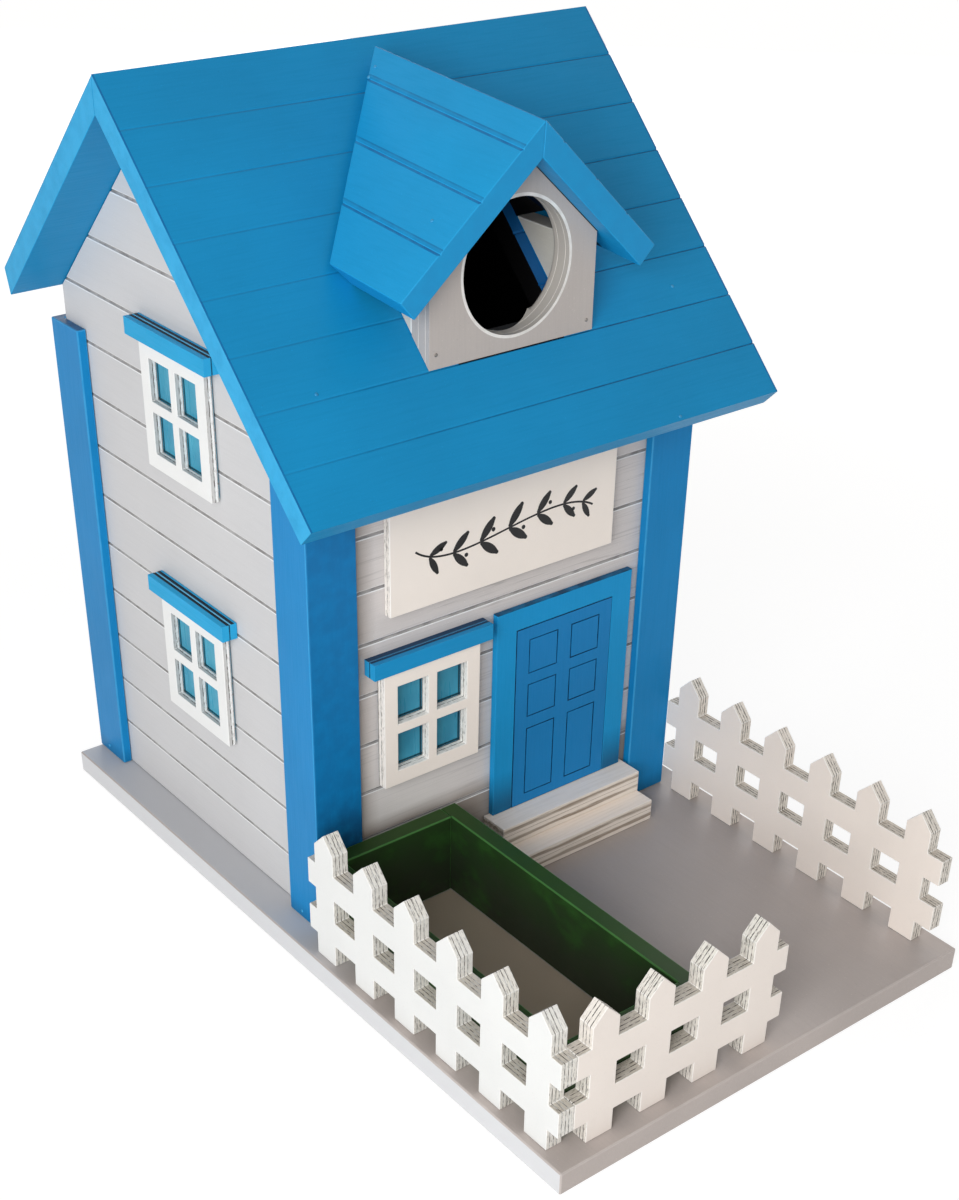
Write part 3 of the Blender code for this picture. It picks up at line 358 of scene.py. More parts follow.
# Wall accents: the groove colour is partly dirt and partly painted shade, the lip colour is a painted
# highlight, and the inside is painted shade.
wall_accents = {
    "edge": ("F4F4F4", 0.5), "groove": ("8A8786", 0.95), "lip": ("F0F0F1", 0.8), "inside": PAINTED_SHADE_BLACK,
}
side_wall_paint = painted_wood("side_wall_paint", "D0CFD0", Y_AXIS, wall_accents, 0.55, 0.06, 0.02)
cross_wall = ("D5CFCD", X_AXIS, wall_accents, 0.55, 0.16, 0.03, 0.3)
# On the front wall the low planks are painted lighter, as painted light; the wall turns brown below the
# height of the planter's rim; and the strip beside the left post is darkened, partly dirt and partly
# painted shadow.
low_planks_light = (Z_AXIS, 0.100, 0.104, "F4F0EE", 0.4)
brown_below_rim_height = (Z_AXIS, 0.052, 0.061, "6E5C49", 0.75)
post_shadow_and_dirt = (X_AXIS, -0.083, -0.070, "8C7660", 0.6)
rear_wall_paint = painted_wood("rear_wall_paint", *cross_wall)
front_wall_paint = painted_wood("front_wall_paint", *cross_wall, [low_planks_light, brown_below_rim_height, post_shadow_and_dirt])
# The board's edge colour and the ring round the hole are painted highlights on the entrance's rims.
board_accents = {
    "edge": ("FFFDFA", 0.95), "hole": ("B9B3AA", 0.8), "seam": ("EFEAE2", 0.8),
    "front": ("FBF8F2", 0.85, round_the_hole),
}
dormer_board_paint = painted_wood("dormer_board_paint", "BDB4AE", Z_AXIS, board_accents, 0.5, 0.10, 0.03)
cheek_paint = painted_wood("cheek_paint", "D2CEC4", Y_AXIS, {"edge": ("F4F4F4", 0.6)}, 0.5, 0.10, 0.03)
# Base accents: the cool strip beside the wall and the lighter left side are painted light; the stain below
# darkens the top towards the house, as painted shade.
base_accents = {
    "strip": ("BFBFC2", 1.0, beside_house), "edge": ("D2CBC8", 0.3), "bed": ("B6A692", 1.0),
    "side": ("D9D9DB", 1.0),
}
house_shade = (Y_AXIS, -0.030, -0.120, "8C8480", 0.35)
base_paint = painted_wood("base_paint", "BCB2AD", Y_AXIS, base_accents, 0.42, 0.08, stains_and_shade=[house_shade])
print("painted finishes:", len(bpy.data.materials))

# %% [markdown]
# ## Cut plywood
# The fences, window frames and the sign are cut from plywood and painted. Their cut edges show
# pale layers with short grey dashes of end grain, and thin dark glue lines that come and go. The
# dashes are noise that is fine across the sheet and long within it; the glue lines are real
# grooves, made further on, and the paint has closed them in places.

# %% The recipe for painted plywood


def painted_plywood(name, body, across, cut="E9E4DB", streak="5F574D", seam="2B2622", grey=0.0):
    """White paint on a plywood sheet whose layers are stacked along one axis."""
    material, tree, shader = start_material(name, specular=0.25)
    speckle = noise_at(tree, 900.0)
    clouds = noise_at(tree, 28.0)
    dashes = noise_at(tree, along_scale(across, 330.0, 2300.0), 3.0, 0.65)
    closed = between(tree, noise_at(tree, 380.0, 2.0), 0.38, 0.58, 0.35, 1.0)
    base = colour(body)
    face = lay(tree, base, clouds, (0.35, 0.7), shade_of(base, 0.96))
    face = lay(tree, face, speckle, (0.62, 0.8, 0.0, 0.2), shade_of(base, 0.75))
    raw = lay(tree, colour(cut), dashes, (0.53, 0.66, 0.0, 0.9), colour(streak))
    raw = lay(tree, raw, clouds, (0.35, 0.7, 0.0, 0.5), base)
    raw = lay_on_mark(tree, raw, "top", 0.45, "A79B8B")
    raw = lay_on_mark(tree, raw, "layer", grey, "8F8985")
    tone = mix_colour(tree, marked(tree, "cut"), face, raw)
    # The edge colour is partly wear and partly a painted highlight; the gap mark is painted shadow next to
    # the wall.
    tone = lay_on_mark(tree, tone, "edge", 0.5, "FBF9F6")
    tone = lay_on_mark(tree, tone, "seam", closed, seam)
    tone = lay_on_mark(tree, tone, "gap", 0.85, "2E2A26")
    relief = mix_colour(tree, marked(tree, "cut"), speckle, dashes)
    roughness = between(tree, speckle, 0.3, 0.7, 0.45, 0.62)
    finish_surface(tree, shader, tone, roughness, relief, 0.35, 0.00015)
    return material


left_fence_paint = painted_plywood("left_fence_paint", "ECECEA", X_AXIS, seam="57504A")
right_fence_paint = painted_plywood("right_fence_paint", "F6EAE0", X_AXIS)
front_fence_paint = painted_plywood("front_fence_paint", "F6ECE4", Y_AXIS)
side_frame_paint = painted_plywood("side_frame_paint", "F0F0EF", X_AXIS, "F6F6F4", "A39C94", grey=0.5)
front_frame_paint = painted_plywood("front_frame_paint", "FFF5EC", Y_AXIS, "FBF7F1", "8A8177", "1E1A17")
sign_paint = painted_plywood("sign_paint", "FDF3EA", Y_AXIS, cut="F0EBE4", seam="57514B")
print("painted plywood ready")

# %% [markdown]
# ## Bare plywood
# The two steps are unpainted: pale on top, with brown layers between light ones on their cut sides.
# The layers follow the height, so a cosine of the height makes them, softened by the fibres.

# %% The recipe for the steps' plywood
FIRST_BROWN_LAYER = 0.0156
LAYER_PAIR = 0.0060


def bare_plywood(name, tread, pale, brown):
    """Raw plywood laid flat, with a pale top and its brown layers showing at the sides."""
    material, tree, shader = start_material(name, specular=0.2)
    fibres = noise_at(tree, (38.0, 800.0, 620.0), 4.0, 0.6)
    clouds = noise_at(tree, (22.0, 60.0, 60.0))
    above = calculate(tree, "SUBTRACT", coordinate(tree, Z_AXIS), FIRST_BROWN_LAYER)
    wave = calculate(tree, "COSINE", calculate(tree, "MULTIPLY", above, math.tau / LAYER_PAIR))
    blurred = calculate(tree, "ADD", wave, between(tree, fibres, 0.3, 0.7, -0.5, 0.5))
    top = lay(tree, colour(tread), fibres, (0.45, 0.78, 0.0, 0.35), colour("D6C6B4"))
    bands = lay(tree, colour(pale), blurred, (0.25, 0.95), colour(brown))
    bands = lay(tree, bands, fibres, (0.5, 0.8, 0.0, 0.4), colour("978A7C"))
    tone = mix_colour(tree, marked(tree, "cut"), top, bands)
    tone = lay(tree, tone, clouds, (0.45, 0.8, 0.0, 0.4), colour("EFE8E0"))
    # The edge colour is partly wear and partly a painted highlight.
    tone = lay_on_mark(tree, tone, "edge", 0.5, "F2EBE3")
    tone = lay_on_mark(tree, tone, "seam", 0.6, "7C6B59")
    finish_surface(tree, shader, tone, between(tree, fibres, 0.3, 0.7, 0.58, 0.75), fibres, 0.35, 0.0002)
    return material


step_ply = bare_plywood("step_ply", "FFF2E6", "F0E6DC", "9C8D7D")
print("bare plywood ready")

# %% [markdown]
# ## Planter stain
# The planter's green is a glossy stain that is bright along the rim and pools nearly black towards
# the foot. A gradient on the height gives that, with drifting blotches where the stain took unevenly.
# The light line on the rim's edges is a painted highlight.

# %% The recipe for the planter
PLANTER_DARK_BELOW = 0.020
PLANTER_BRIGHT_ABOVE = 0.060


def pooled_stain(name, rim, middle, foot):
    """A stain that darkens from the rim to the foot of a board."""
    material, tree, shader = start_material(name, specular=0.15)
    blotches = noise_at(tree, (42.0, 42.0, 60.0), 4.0, 0.6)
    fibres = noise_at(tree, (60.0, 60.0, 1100.0), 3.0, 0.6)
    drift = between(tree, blotches, 0.3, 0.7, -0.012, 0.012)
    level = calculate(tree, "ADD", coordinate(tree, Z_AXIS), drift)
    tone = lay(tree, colour(foot), level, (PLANTER_DARK_BELOW, PLANTER_BRIGHT_ABOVE), colour(middle))
    tone = lay(tree, tone, fibres, (0.5, 0.8, 0.0, 0.3), colour(foot))
    tone = lay(tree, tone, blotches, (0.55, 0.75, 0.0, 0.5), colour("37682B"))
    tone = lay_on_mark(tree, tone, "top", 0.85, rim)
    # The rim's edge gets a painted highlight.
    tone = lay_on_mark(tree, tone, "edge", 0.6, "4E8645")
    finish_surface(tree, shader, tone, between(tree, blotches, 0.3, 0.7, 0.32, 0.5), fibres, 0.3, 0.00015)
    return material


planter_stain = pooled_stain("planter_stain", "2C471C", "24401C", "30392A")
print("planter stain ready")

# %% [markdown]
# ## Panes, metal and ink
# The panes are thin boards painted a glossy teal, the hinges are zinc plated, the nails and screws
# are steel with a skin of paint or lacquer, and the sign's motif is printed in black.

# %% The small finishes


def glossy_paint(name, body, shade, rough):
    """Brushed gloss paint, with slow streaks in tone and sheen."""
    material, tree, shader = start_material(name, specular=0.35)
    strokes = noise_at(tree, (420.0, 420.0, 40.0))
    clouds = noise_at(tree, 60.0, 2.0)
    dark = colour(shade)
    tone = lay(tree, colour(body), clouds, (0.3, 0.7), dark)
    tone = lay(tree, tone, strokes, (0.45, 0.8, 0.0, 0.3), shade_of(dark, 0.8))
    # The outline mark gets a near-black line: painted shadow where the frame meets the pane.
    outline = calculate(tree, "MULTIPLY", marked(tree, "outline"), 0.9)
    tone = mix_colour(tree, outline, tone, shade_of(dark, 0.1))
    roughness = between(tree, strokes, 0.3, 0.7, rough - 0.05, rough + 0.1)
    finish_surface(tree, shader, tone, roughness, strokes, 0.2, 0.0001)
    return material


def plated_metal(name, body, scratch, rough):
    """Plated steel with fine scratches and a cloudy finish."""
    material, tree, shader = start_material(name)
    shader.inputs["Metallic"].default_value = 1.0
    scratches = noise_at(tree, (1400.0, 1400.0, 90.0), 4.0, 0.7)
    tone = lay(tree, colour(body), noise_at(tree, 240.0), (0.3, 0.7), colour(scratch))
    roughness = between(tree, scratches, 0.3, 0.7, rough - 0.08, rough + 0.14)
    finish_surface(tree, shader, tone, roughness, scratches, 0.25, 0.0001)
    return material


pane_paint = glossy_paint("pane_paint", "4AAAC6", "3292B2", 0.28)
front_pane_paint = glossy_paint("front_pane_paint", "3A9AB8", "2882A2", 0.28)
ink = glossy_paint("ink", "1D1C1E", "0F0F11", 0.45)
magnet_plastic = glossy_paint("magnet_plastic", "2C2C2E", "1E1E20", 0.5)
painted_nail = glossy_paint("painted_nail", "3FA4D4", "1C7FB2", 0.3)
zinc = plated_metal("zinc", "C9CCD0", "A8ACB2", 0.34)
nail_steel = plated_metal("nail_steel", "A39E98", "6F6A64", 0.4)
print("finishes in all:", len(bpy.data.materials))

# %% [markdown]
# ## From CAD board to dressed board
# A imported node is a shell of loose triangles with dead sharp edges. Real boards never have those:
# sanding and paint leave a small round on each edge, and that round is what catches the light. The
# triangles are welded, flat neighbours are joined into whole faces, and a Bevel modifier rounds
# the sharp edges. Remodelling each board from a cube would give the same faces with more chances
# to miss the CAD's sizes.

# %% Short calls for editing
WELD = 0.00001
FLAT = math.radians(0.5)
UP = Vector((0.0, 0.0, 1.0))
FRONT = Vector((0.0, -1.0, 0.0))


def only(obj):
    """Select one object alone and make it the active one."""
    bpy.ops.object.select_all(action="DESELECT")
    obj.select_set(True)
    bpy.context.view_layer.objects.active = obj


def edit_all(obj):
    """Open an object in edit mode with all of its mesh selected."""
    only(obj)
    bpy.ops.object.mode_set(mode="EDIT")
    bpy.ops.mesh.select_mode(type="VERT")
    bpy.ops.mesh.select_all(action="SELECT")


def edit_some(obj, test):
    """Open an object in edit mode with the vertices selected whose place passes a test."""
    edit_all(obj)
    bpy.ops.mesh.select_all(action="DESELECT")
    bpy.ops.object.mode_set(mode="OBJECT")
    for vertex in obj.data.vertices:
        vertex.select = test(vertex.co)
    bpy.ops.object.mode_set(mode="EDIT")


def close_edit():
    """Leave edit mode."""
    bpy.ops.object.mode_set(mode="OBJECT")


def shift_some(obj, test, shift):
    """Move the vertices whose place passes a test."""
    edit_some(obj, test)
    bpy.ops.transform.translate(value=shift)
    close_edit()


def resize_all(obj, factors):
    """Resize the whole mesh by a factor on each axis."""
    edit_all(obj)
    bpy.ops.transform.resize(value=factors)
    close_edit()


def slice_at(piece, point, normal):
    """Add a loop of edges where a plane crosses a piece."""
    edit_all(piece)
    bpy.ops.mesh.bisect(plane_co=point, plane_no=normal, threshold=WELD / 10)
    close_edit()


def along_axis(axis):
    """The direction of one axis."""
    return Vector([float(index == axis) for index in range(3)])


def slicer(levels):
    """A step that slices a board at levels, each given as an axis and a place on it."""
    def prepare(piece):
        for axis, level in levels:
            slice_at(piece, along_axis(axis) * level, along_axis(axis))
    return prepare


def own_copy(model, name):
    """A copy of an object with a mesh of its own."""
    piece = bpy.data.objects.new(name, model.data.copy())
    piece.data.name = name
    scene.collection.objects.link(piece)
    return piece


def board_from(node, name):
    """A welded copy of a CAD node's mesh, in an object of its own."""
    piece = own_copy(nodes[node], name)
    piece.data.materials.clear()
    edit_all(piece)
    bpy.ops.mesh.remove_doubles(threshold=WELD)
    bpy.ops.mesh.dissolve_limited(angle_limit=FLAT)
    close_edit()
    return piece


print("editing helpers ready")

# %% [markdown]
# Seams are cut after the edges are rounded, because the Bevel modifier makes every round as small
# as the tightest spot allows. A mark is a number on each face, which the materials read.

# %% Rounds, seams and marks
SHARP = math.radians(25)
EDGE_FINISH = 1
SEAM_HALF = 0.00013
PLY_SEAM_HALF = 0.0002
SEAM_DEPTH = 0.0002


def mark(piece, name, test):
    """Mark the faces whose middle and normal pass a test, for the material to read."""
    values = [1.0 if test(face.center, face.normal) else 0.0 for face in piece.data.polygons]
    layer = piece.data.attributes.get(name) or piece.data.attributes.new(name, "FLOAT", "FACE")
    earlier = [0.0] * len(values)
    layer.data.foreach_get("value", earlier)
    layer.data.foreach_set("value", [max(pair) for pair in zip(values, earlier)])


def faces(direction, least):
    """A test for faces that look along a direction: 1 is straight along it, 0 is square to it."""
    return lambda middle, facing: facing.dot(direction) > least


def cut_sides(axis, most):
    """A test for the sides of a sheet whose layers are stacked along one axis."""
    return lambda middle, facing: abs(facing[axis]) < most


def round_edges(piece, width, joint=None):
    """Round the sharp edges, all but those in a joint, and mark the narrow faces that this makes."""
    for _ in range(EDGE_FINISH + 1):
        piece.data.materials.append(None)
    edit_all(piece)
    bpy.ops.mesh.select_mode(type="EDGE")
    bpy.ops.mesh.select_all(action="DESELECT")
    bpy.ops.mesh.edges_select_sharp(sharpness=SHARP)
    close_edit()
    if joint:
        places = piece.data.vertices
        for edge in piece.data.edges:
            start, end = [places[index].co for index in edge.vertices]
            edge.select = edge.select and not joint((start + end) / 2)
    bpy.ops.object.mode_set(mode="EDIT")
    bpy.ops.transform.edge_bevelweight(value=1.0)
    close_edit()
    bevel = piece.modifiers.new("round", "BEVEL")
    bevel.width = width
    bevel.segments = 2
    bevel.limit_method = "WEIGHT"
    bevel.material = EDGE_FINISH
    bevel.harden_normals = True
    only(piece)
    bpy.ops.object.modifier_apply(modifier=bevel.name)
    values = [float(face.material_index == EDGE_FINISH) for face in piece.data.polygons]
    piece.data.attributes.new("edge", "FLOAT", "FACE").data.foreach_set("value", values)
    for face in piece.data.polygons:
        face.material_index = 0
    piece.data.materials.clear()


def layer_planes(node, axis, shares):
    """Planes between the layers of a sheet, at shares of its thickness."""
    low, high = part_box(node)
    return [(low + (high - low) * share, along_axis(axis)) for share in shares]


def cut_seam(piece, point, normal, half):
    """Cut a fine V groove round a board, in a plane between two of its layers."""
    for offset in (-half, 0.0, half):
        slice_at(piece, point + normal * offset, normal)
    edit_some(piece, lambda place: abs((place - point).dot(normal)) < WELD)
    bpy.ops.transform.shrink_fatten(value=-SEAM_DEPTH, use_even_offset=True)
    close_edit()
    mark(piece, "seam", lambda middle, facing: abs((middle - point).dot(normal)) < half)


def finish_piece(piece, material, body="house", replaced=()):
    """Give a piece its material and its body, and hide the CAD nodes that it stands for."""
    piece.data.materials.append(material)
    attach(piece, body)
    if replaced:
        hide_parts(*replaced)


def dress(
    node, material, width, body="house", marks=None, seams=(), half=SEAM_HALF,
    prepare=None, joint=None,
):
    """Turn a CAD board into a dressed one with rounded edges, seams between layers and marked faces."""
    piece = board_from(node, node + "_board")
    if prepare:
        prepare(piece)
    round_edges(piece, width, joint)
    for point, normal in seams:
        cut_seam(piece, point, normal, half)
    for name, test in (marks or {}).items():
        mark(piece, name, test)
    finish_piece(piece, material, body, (node,))
    print(piece.name, len(piece.data.polygons), "faces")


print("dressing helpers ready")

# %% [markdown]
# ## Walls
# Four planked boards. The side walls run to the gable; the planks are V grooves in one board, as on
# the real walls. The faces in each groove are marked for a darker colour, partly dirt and partly
# painted shade, and the rounded lip under it for a painted highlight. The inner faces are marked too,
# and painted near black as painted shade.

# %% Dress the walls
WALL_EDGE = 0.0006
GROOVE_SHALLOW = 0.00022
GROOVE_DEEP = 0.0014


def outer_and_inner(node, axis, side):
    """The levels of a board's outer and inner faces, by the side of the house that it is on."""
    low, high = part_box(node)
    return (high[axis], low[axis]) if side > 0 else (low[axis], high[axis])


def wall_marks(node, axis, side):
    """Tests for a wall's grooves, for the lips under them and for its inner side."""
    outer, inner = outer_and_inner(node, axis, side)
    sunk = lambda middle: (outer - middle[axis]) * side
    # The grooves get partly dirt and partly painted shade, the lips a painted highlight, the inner side
    # painted shade.
    return {
        "groove": lambda middle, facing: GROOVE_SHALLOW < sunk(middle) < GROOVE_DEEP,
        "lip": lambda middle, facing: sunk(middle) < GROOVE_SHALLOW and 0.1 < facing.z < 0.9,
        "inside": lambda middle, facing: abs(middle[axis] - inner) < GROOVE_SHALLOW,
    }


walls = {
    "left_wall": (X_AXIS, -1, side_wall_paint),
    "right_wall": (X_AXIS, 1, side_wall_paint),
    "front_wall": (Y_AXIS, -1, front_wall_paint),
    "rear_wall": (Y_AXIS, 1, rear_wall_paint),
}
for name, (axis, side, paint) in walls.items():
    dress(name, paint, WALL_EDGE, marks=wall_marks(name, axis, side))

# %% [markdown]
# ## Roof
# Two grooved slopes that meet at the ridge. On the real roof the paint has flowed into the grooves,
# most of all towards the left. The CAD has them as they were cut, so the bottom of each groove is
# moved part of the way out. The paint also covers the joint at the ridge, so the hair-wide gap there
# is closed, and its edges stay unrounded. The sawn ends are marked and painted lighter, partly from
# their grain and partly as painted light. The side of each groove that looks away from the light gets
# painted shade, and so does a thin line along the sawn ends; the face under the eave is painted
# lighter, as painted light.

# %% Steps for sloped boards
ROOF_EDGE = 0.0006
ROOF_GROOVE = 0.0008
BOTTOM_WITHIN = 0.00005
FACE_WITHIN = 0.00004
NEAR_RIDGE = 0.0003
ON_RIDGE = 0.0002
roof_planes = {}


def slope_plane(node, sideways, upward, pitch):
    """The outermost corner of a sloped board, the way that its face looks, and the way down it."""
    outward = sideways * math.sin(pitch) + upward * math.cos(pitch)
    downhill = sideways * math.cos(pitch) - upward * math.sin(pitch)
    point = max((vertex.co.copy() for vertex in nodes[node].data.vertices), key=outward.dot)
    roof_planes[node] = (point, outward, downhill)
    return roof_planes[node]


def fill_grooves(piece, point, normal, left, right):
    """Fill the grooves in a sloped face with paint, by one share at the left end and one at the right."""
    at_bottom = lambda place: abs((point - place).dot(normal) - ROOF_GROOVE) < BOTTOM_WITHIN
    for side, share in ((-1, left), (1, right)):
        in_half = lambda place: at_bottom(place) and place.x * side > 0
        shift_some(piece, in_half, normal * ROOF_GROOVE * share)


def in_slope(point, normal, downhill):
    """A test for the side of each groove that looks up the slope, away from the light."""
    def test(middle, facing):
        sunk = FACE_WITHIN < (point - middle).dot(normal) < ROOF_GROOVE
        return sunk and facing.dot(normal) > 0.5 and facing.dot(downhill) < -0.05
    return test


print("steps for slopes ready")

# %% [markdown]
# The front slope is open under the dormer. The ledges beside that opening are painted a dim blue, as
# painted shade where the entrance lets a little light in, and the rest there is painted near black, as
# painted shade, so the slope is sliced where these meet.

# %% Dress the roof
ROOF_PITCH = math.radians(44.3)
ROOF_ENDS_FROM = 0.12
RIDGE_LINE = 0.098
RIDGE_GAP = 0.0001
RIM_WIDTH = 0.0009
BOARD_REAR = -0.0001
CHEEK_REAR = 0.0301
CHEEK_INNER = 0.0351
LEDGE_LIT_TO = 0.040
LOFT_END = 0.0815
OPENING_HALF = 0.0292
OPENING_REACH = 0.0475
OPENING_FRONT = -0.02
OPENING_REAR = 0.07
CUT_FROM = 0.001
CUT_TO = 0.010
roof_low, roof_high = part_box("roof_front")


def lit_ledge(middle):
    """Whether a place is on the slope beside the opening, painted a dim blue as painted shade."""
    return OPENING_HALF < abs(middle.x) < CHEEK_INNER and BOARD_REAR < middle.y < LEDGE_LIT_TO


def dark_loft(middle):
    """Whether a place on the slope is in the dark behind the entrance, or in the foot of its hole."""
    in_foot = abs(middle.x) < OPENING_HALF and BOARD_FRONT < middle.y < BOARD_REAR
    behind = CHEEK_REAR < middle.y < LOFT_END - abs(middle.x)
    return in_foot or (behind and not lit_ledge(middle))


def near_opening(middle):
    """Whether a place is in or beside the opening under the dormer."""
    return abs(middle.x) < OPENING_REACH and OPENING_FRONT < middle.y < OPENING_REAR


def near_roof_end(middle):
    """Whether a place is within the line of painted shade along the sawn ends of the slopes."""
    return min(middle.x - roof_low.x, roof_high.x - middle.x) < RIM_WIDTH


def dress_slope(name, side):
    """Dress one slope of the main roof: the front one for side -1, the rear one for side 1."""
    point, outward, downhill = slope_plane(name, Vector((0.0, side, 0.0)), UP, ROOF_PITCH)

    def prepare(piece):
        """Close the ridge, fill the grooves, and slice the slope where the dormer stands on it."""
        at_ridge = lambda place: abs(place.y - RIDGE_LINE) < NEAR_RIDGE
        shift_some(piece, at_ridge, (0.0, -side * RIDGE_GAP, 0.0))
        fill_grooves(piece, point, outward, 0.85, 0.35)
        slicer([(X_AXIS, roof_low.x + RIM_WIDTH), (X_AXIS, roof_high.x - RIM_WIDTH)])(piece)
        if side < 0:
            across = [(X_AXIS, x) for x in (-CHEEK_INNER, -OPENING_HALF, OPENING_HALF, CHEEK_INNER)]
            along = [(Y_AXIS, y) for y in (BOARD_FRONT, BOARD_REAR, CHEEK_REAR, LEDGE_LIT_TO)]
            slicer(across + along)(piece)
            for x in (-1.0, 1.0):
                slice_at(piece, Vector((0.0, LOFT_END, 0.0)), Vector((x, 1.0, 0.0)).normalized())

    def unlit(middle, facing):
        """Whether a face is in the dark loft or in the sawn wall of the opening: both get painted shade.
        """
        turned = facing.dot(outward)
        in_wall = CUT_FROM < (point - middle).dot(outward) < CUT_TO and abs(turned) < 0.9
        return turned > 0.5 and dark_loft(middle) or in_wall and near_opening(middle)

    # end: partly painted light; groove and rim: painted shade; eave: painted light on the face under the
    # eave.
    marks = {
        "end": lambda middle, facing: abs(facing.x) > 0.9 and abs(middle.x) > ROOF_ENDS_FROM,
        "groove": in_slope(point, outward, downhill),
        "eave": faces(downhill, 0.7),
        "rim": lambda middle, facing: facing.dot(outward) > 0.2 and near_roof_end(middle),
    }
    if side < 0:
        # The loft and the opening's sawn wall are painted near black, and the ledges a dim blue: both
        # painted shade.
        marks["inside"] = unlit
        marks["shade"] = lambda middle, facing: facing.dot(outward) > 0.5 and lit_ledge(middle)
    on_ridge = lambda place: abs(place.y - RIDGE_LINE) < ON_RIDGE
    dress(name, roof_paint, ROOF_EDGE, marks=marks, prepare=prepare, joint=on_ridge)


dress_slope("roof_front", -1)
dress_slope("roof_rear", 1)

# %% [markdown]
# ## Dormer roof
# Each dormer panel lies on the main roof along a valley. Its planks have a soft shoulder above each
# groove, which is not modelled: it shows as a faint band with a thin line at its top, so the panel is
# sliced there and the faces between are marked and painted a darker blue, as painted shade. The side
# of each groove that looks away from the light gets painted shade too. At the valley the real panels
# are cut to a slant, so that their tops reach further than their undersides; the CAD cut is square,
# so the top corners are drawn out.

# %% Dress the dormer roof
DORMER_PITCH = math.radians(42.0)
DORMER_RISE = math.radians(4.18)
DORMER_LENGTH = 0.092
DORMER_GROOVES = (0.158, 0.446, 0.728)
DORMER_RIDGE_GAP = 0.00015
SHOULDER = 0.0021
SHOULDER_LINE = 0.0006
SHOULDER_FOOT = 0.0002
VALLEY_REACH = 0.0066
VALLEY_FROM = 0.030
TOP_SKIN = 0.0012
along_dormer = Vector((0.0, math.cos(DORMER_RISE), math.sin(DORMER_RISE)))
upright = Vector((0.0, -math.sin(DORMER_RISE), math.cos(DORMER_RISE)))
ridge_front = Vector((0.0, -0.0287, 0.3747))


def dress_dormer_panel(name, side):
    """Dress the dormer's left panel for side -1, or its right one for side 1."""
    point, outward, downhill = slope_plane(name, Vector((side, 0.0, 0.0)), upright, DORMER_PITCH)

    def prepare(piece):
        """Close the ridge, draw out the valley edge, fill the grooves and slice the shoulders."""
        shift_some(piece, lambda place: abs(place.x) < NEAR_RIDGE, (-side * DORMER_RIDGE_GAP, 0.0, 0.0))
        for vertex in piece.data.vertices:
            run = (vertex.co - ridge_front).dot(along_dormer)
            lower = (vertex.co - ridge_front).dot(downhill)
            if run > VALLEY_FROM and (point - vertex.co).dot(outward) < TOP_SKIN:
                vertex.co += along_dormer * VALLEY_REACH * lower / DORMER_LENGTH
        fill_grooves(piece, point, outward, 0.3, 0.3)
        for share in DORMER_GROOVES:
            for offset in (SHOULDER, SHOULDER - SHOULDER_LINE):
                slice_at(piece, ridge_front + downhill * (share * DORMER_LENGTH - offset), downhill)

    def above_groove(near, far):
        """A test for the top faces that lie above a groove, between two distances from it."""
        def test(middle, facing):
            lower = (middle - ridge_front).dot(downhill)
            beside = any(near < share * DORMER_LENGTH - lower < far for share in DORMER_GROOVES)
            return beside and facing.dot(outward) > 0.8
        return test

    # line and band paint the shade of the shoulders above the grooves.
    marks = {
        "end": faces(-along_dormer, 0.9),
        "groove": in_slope(point, outward, downhill),
        "line": above_groove(SHOULDER - SHOULDER_LINE, SHOULDER),
        "band": above_groove(SHOULDER_FOOT, SHOULDER - SHOULDER_LINE),
        "inside": faces(-outward, 0.9),
    }
    on_crest = lambda place: abs(place.x) < ON_RIDGE
    dress(name, dormer_paint, ROOF_EDGE, marks=marks, prepare=prepare, joint=on_crest)


dress_dormer_panel("dormer_roof_left", -1)
dress_dormer_panel("dormer_roof_right", 1)

# %% [markdown]
# ## Dormer front, cheeks and posts
# The round entrance is sawn through a plywood board, so its wall shows the layers as rings between
# two sanded lips. The corner posts have dark sawn tops, and the face of the left front one is
# marked too: it is painted darker as painted shade, and darker still beside the planter, as painted
# shadow.

# %% Dress the dormer board, its cheeks and the posts
HOLE_REACH = 0.034
HOLE_RIM_ROUND = 0.0028
REAR_RIM = 0.0005
board_low, board_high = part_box("dormer_front_board")
posts = ("post_front_left", "post_front_right", "post_rear_left", "post_rear_right")


def at_hole(place):
    """Whether a place is in the wall of the entrance or on its rims."""
    return math.hypot(place.x - HOLE_X, place.z - HOLE_Z) < HOLE_REACH


def ease_rear_lip(piece):
    """Round the hole's inner rim widely, as sanding has left it."""
    edit_some(piece, lambda place: at_hole(place) and place.y > board_high.y - REAR_RIM)
    bpy.ops.mesh.bevel(offset=HOLE_RIM_ROUND, segments=5, affect="EDGES")
    close_edit()


marks = {
    "hole": lambda middle, facing: at_hole(middle) and -0.7 < facing.y < 0.9,
    "front": faces(FRONT, 0.99),
}
seams = layer_planes("dormer_front_board", Y_AXIS, (0.22, 0.62))
dress(
    "dormer_front_board", dormer_board_paint, 0.0009, marks=marks, seams=seams,
    prepare=ease_rear_lip,
)
for name in ("dormer_cheek_left", "dormer_cheek_right"):
    dress(name, cheek_paint, 0.0005)
for name in posts:
    marks = {"end": faces(UP, 0.9)}
    if name == "post_front_left":
        marks.update(front=faces(FRONT, 0.9), foot=faces(FRONT, 0.9))
    dress(name, post_paint, 0.0007, marks=marks)

# %% [markdown]
# ## Windows and their lintels
# A window is a teal board behind a white frame of two plywood layers. The lintel over it is made of
# two battens, so a dark seam shows in its ends, and dark and light lines run along its top; the dark
# band at its back, towards the wall, is painted shade. A line of painted shadow runs just inside each
# light of a frame, and another along the frame's cut sides next to the wall. The same steps dress all
# five windows. Depths are shares of a board's thickness, from its outer face.

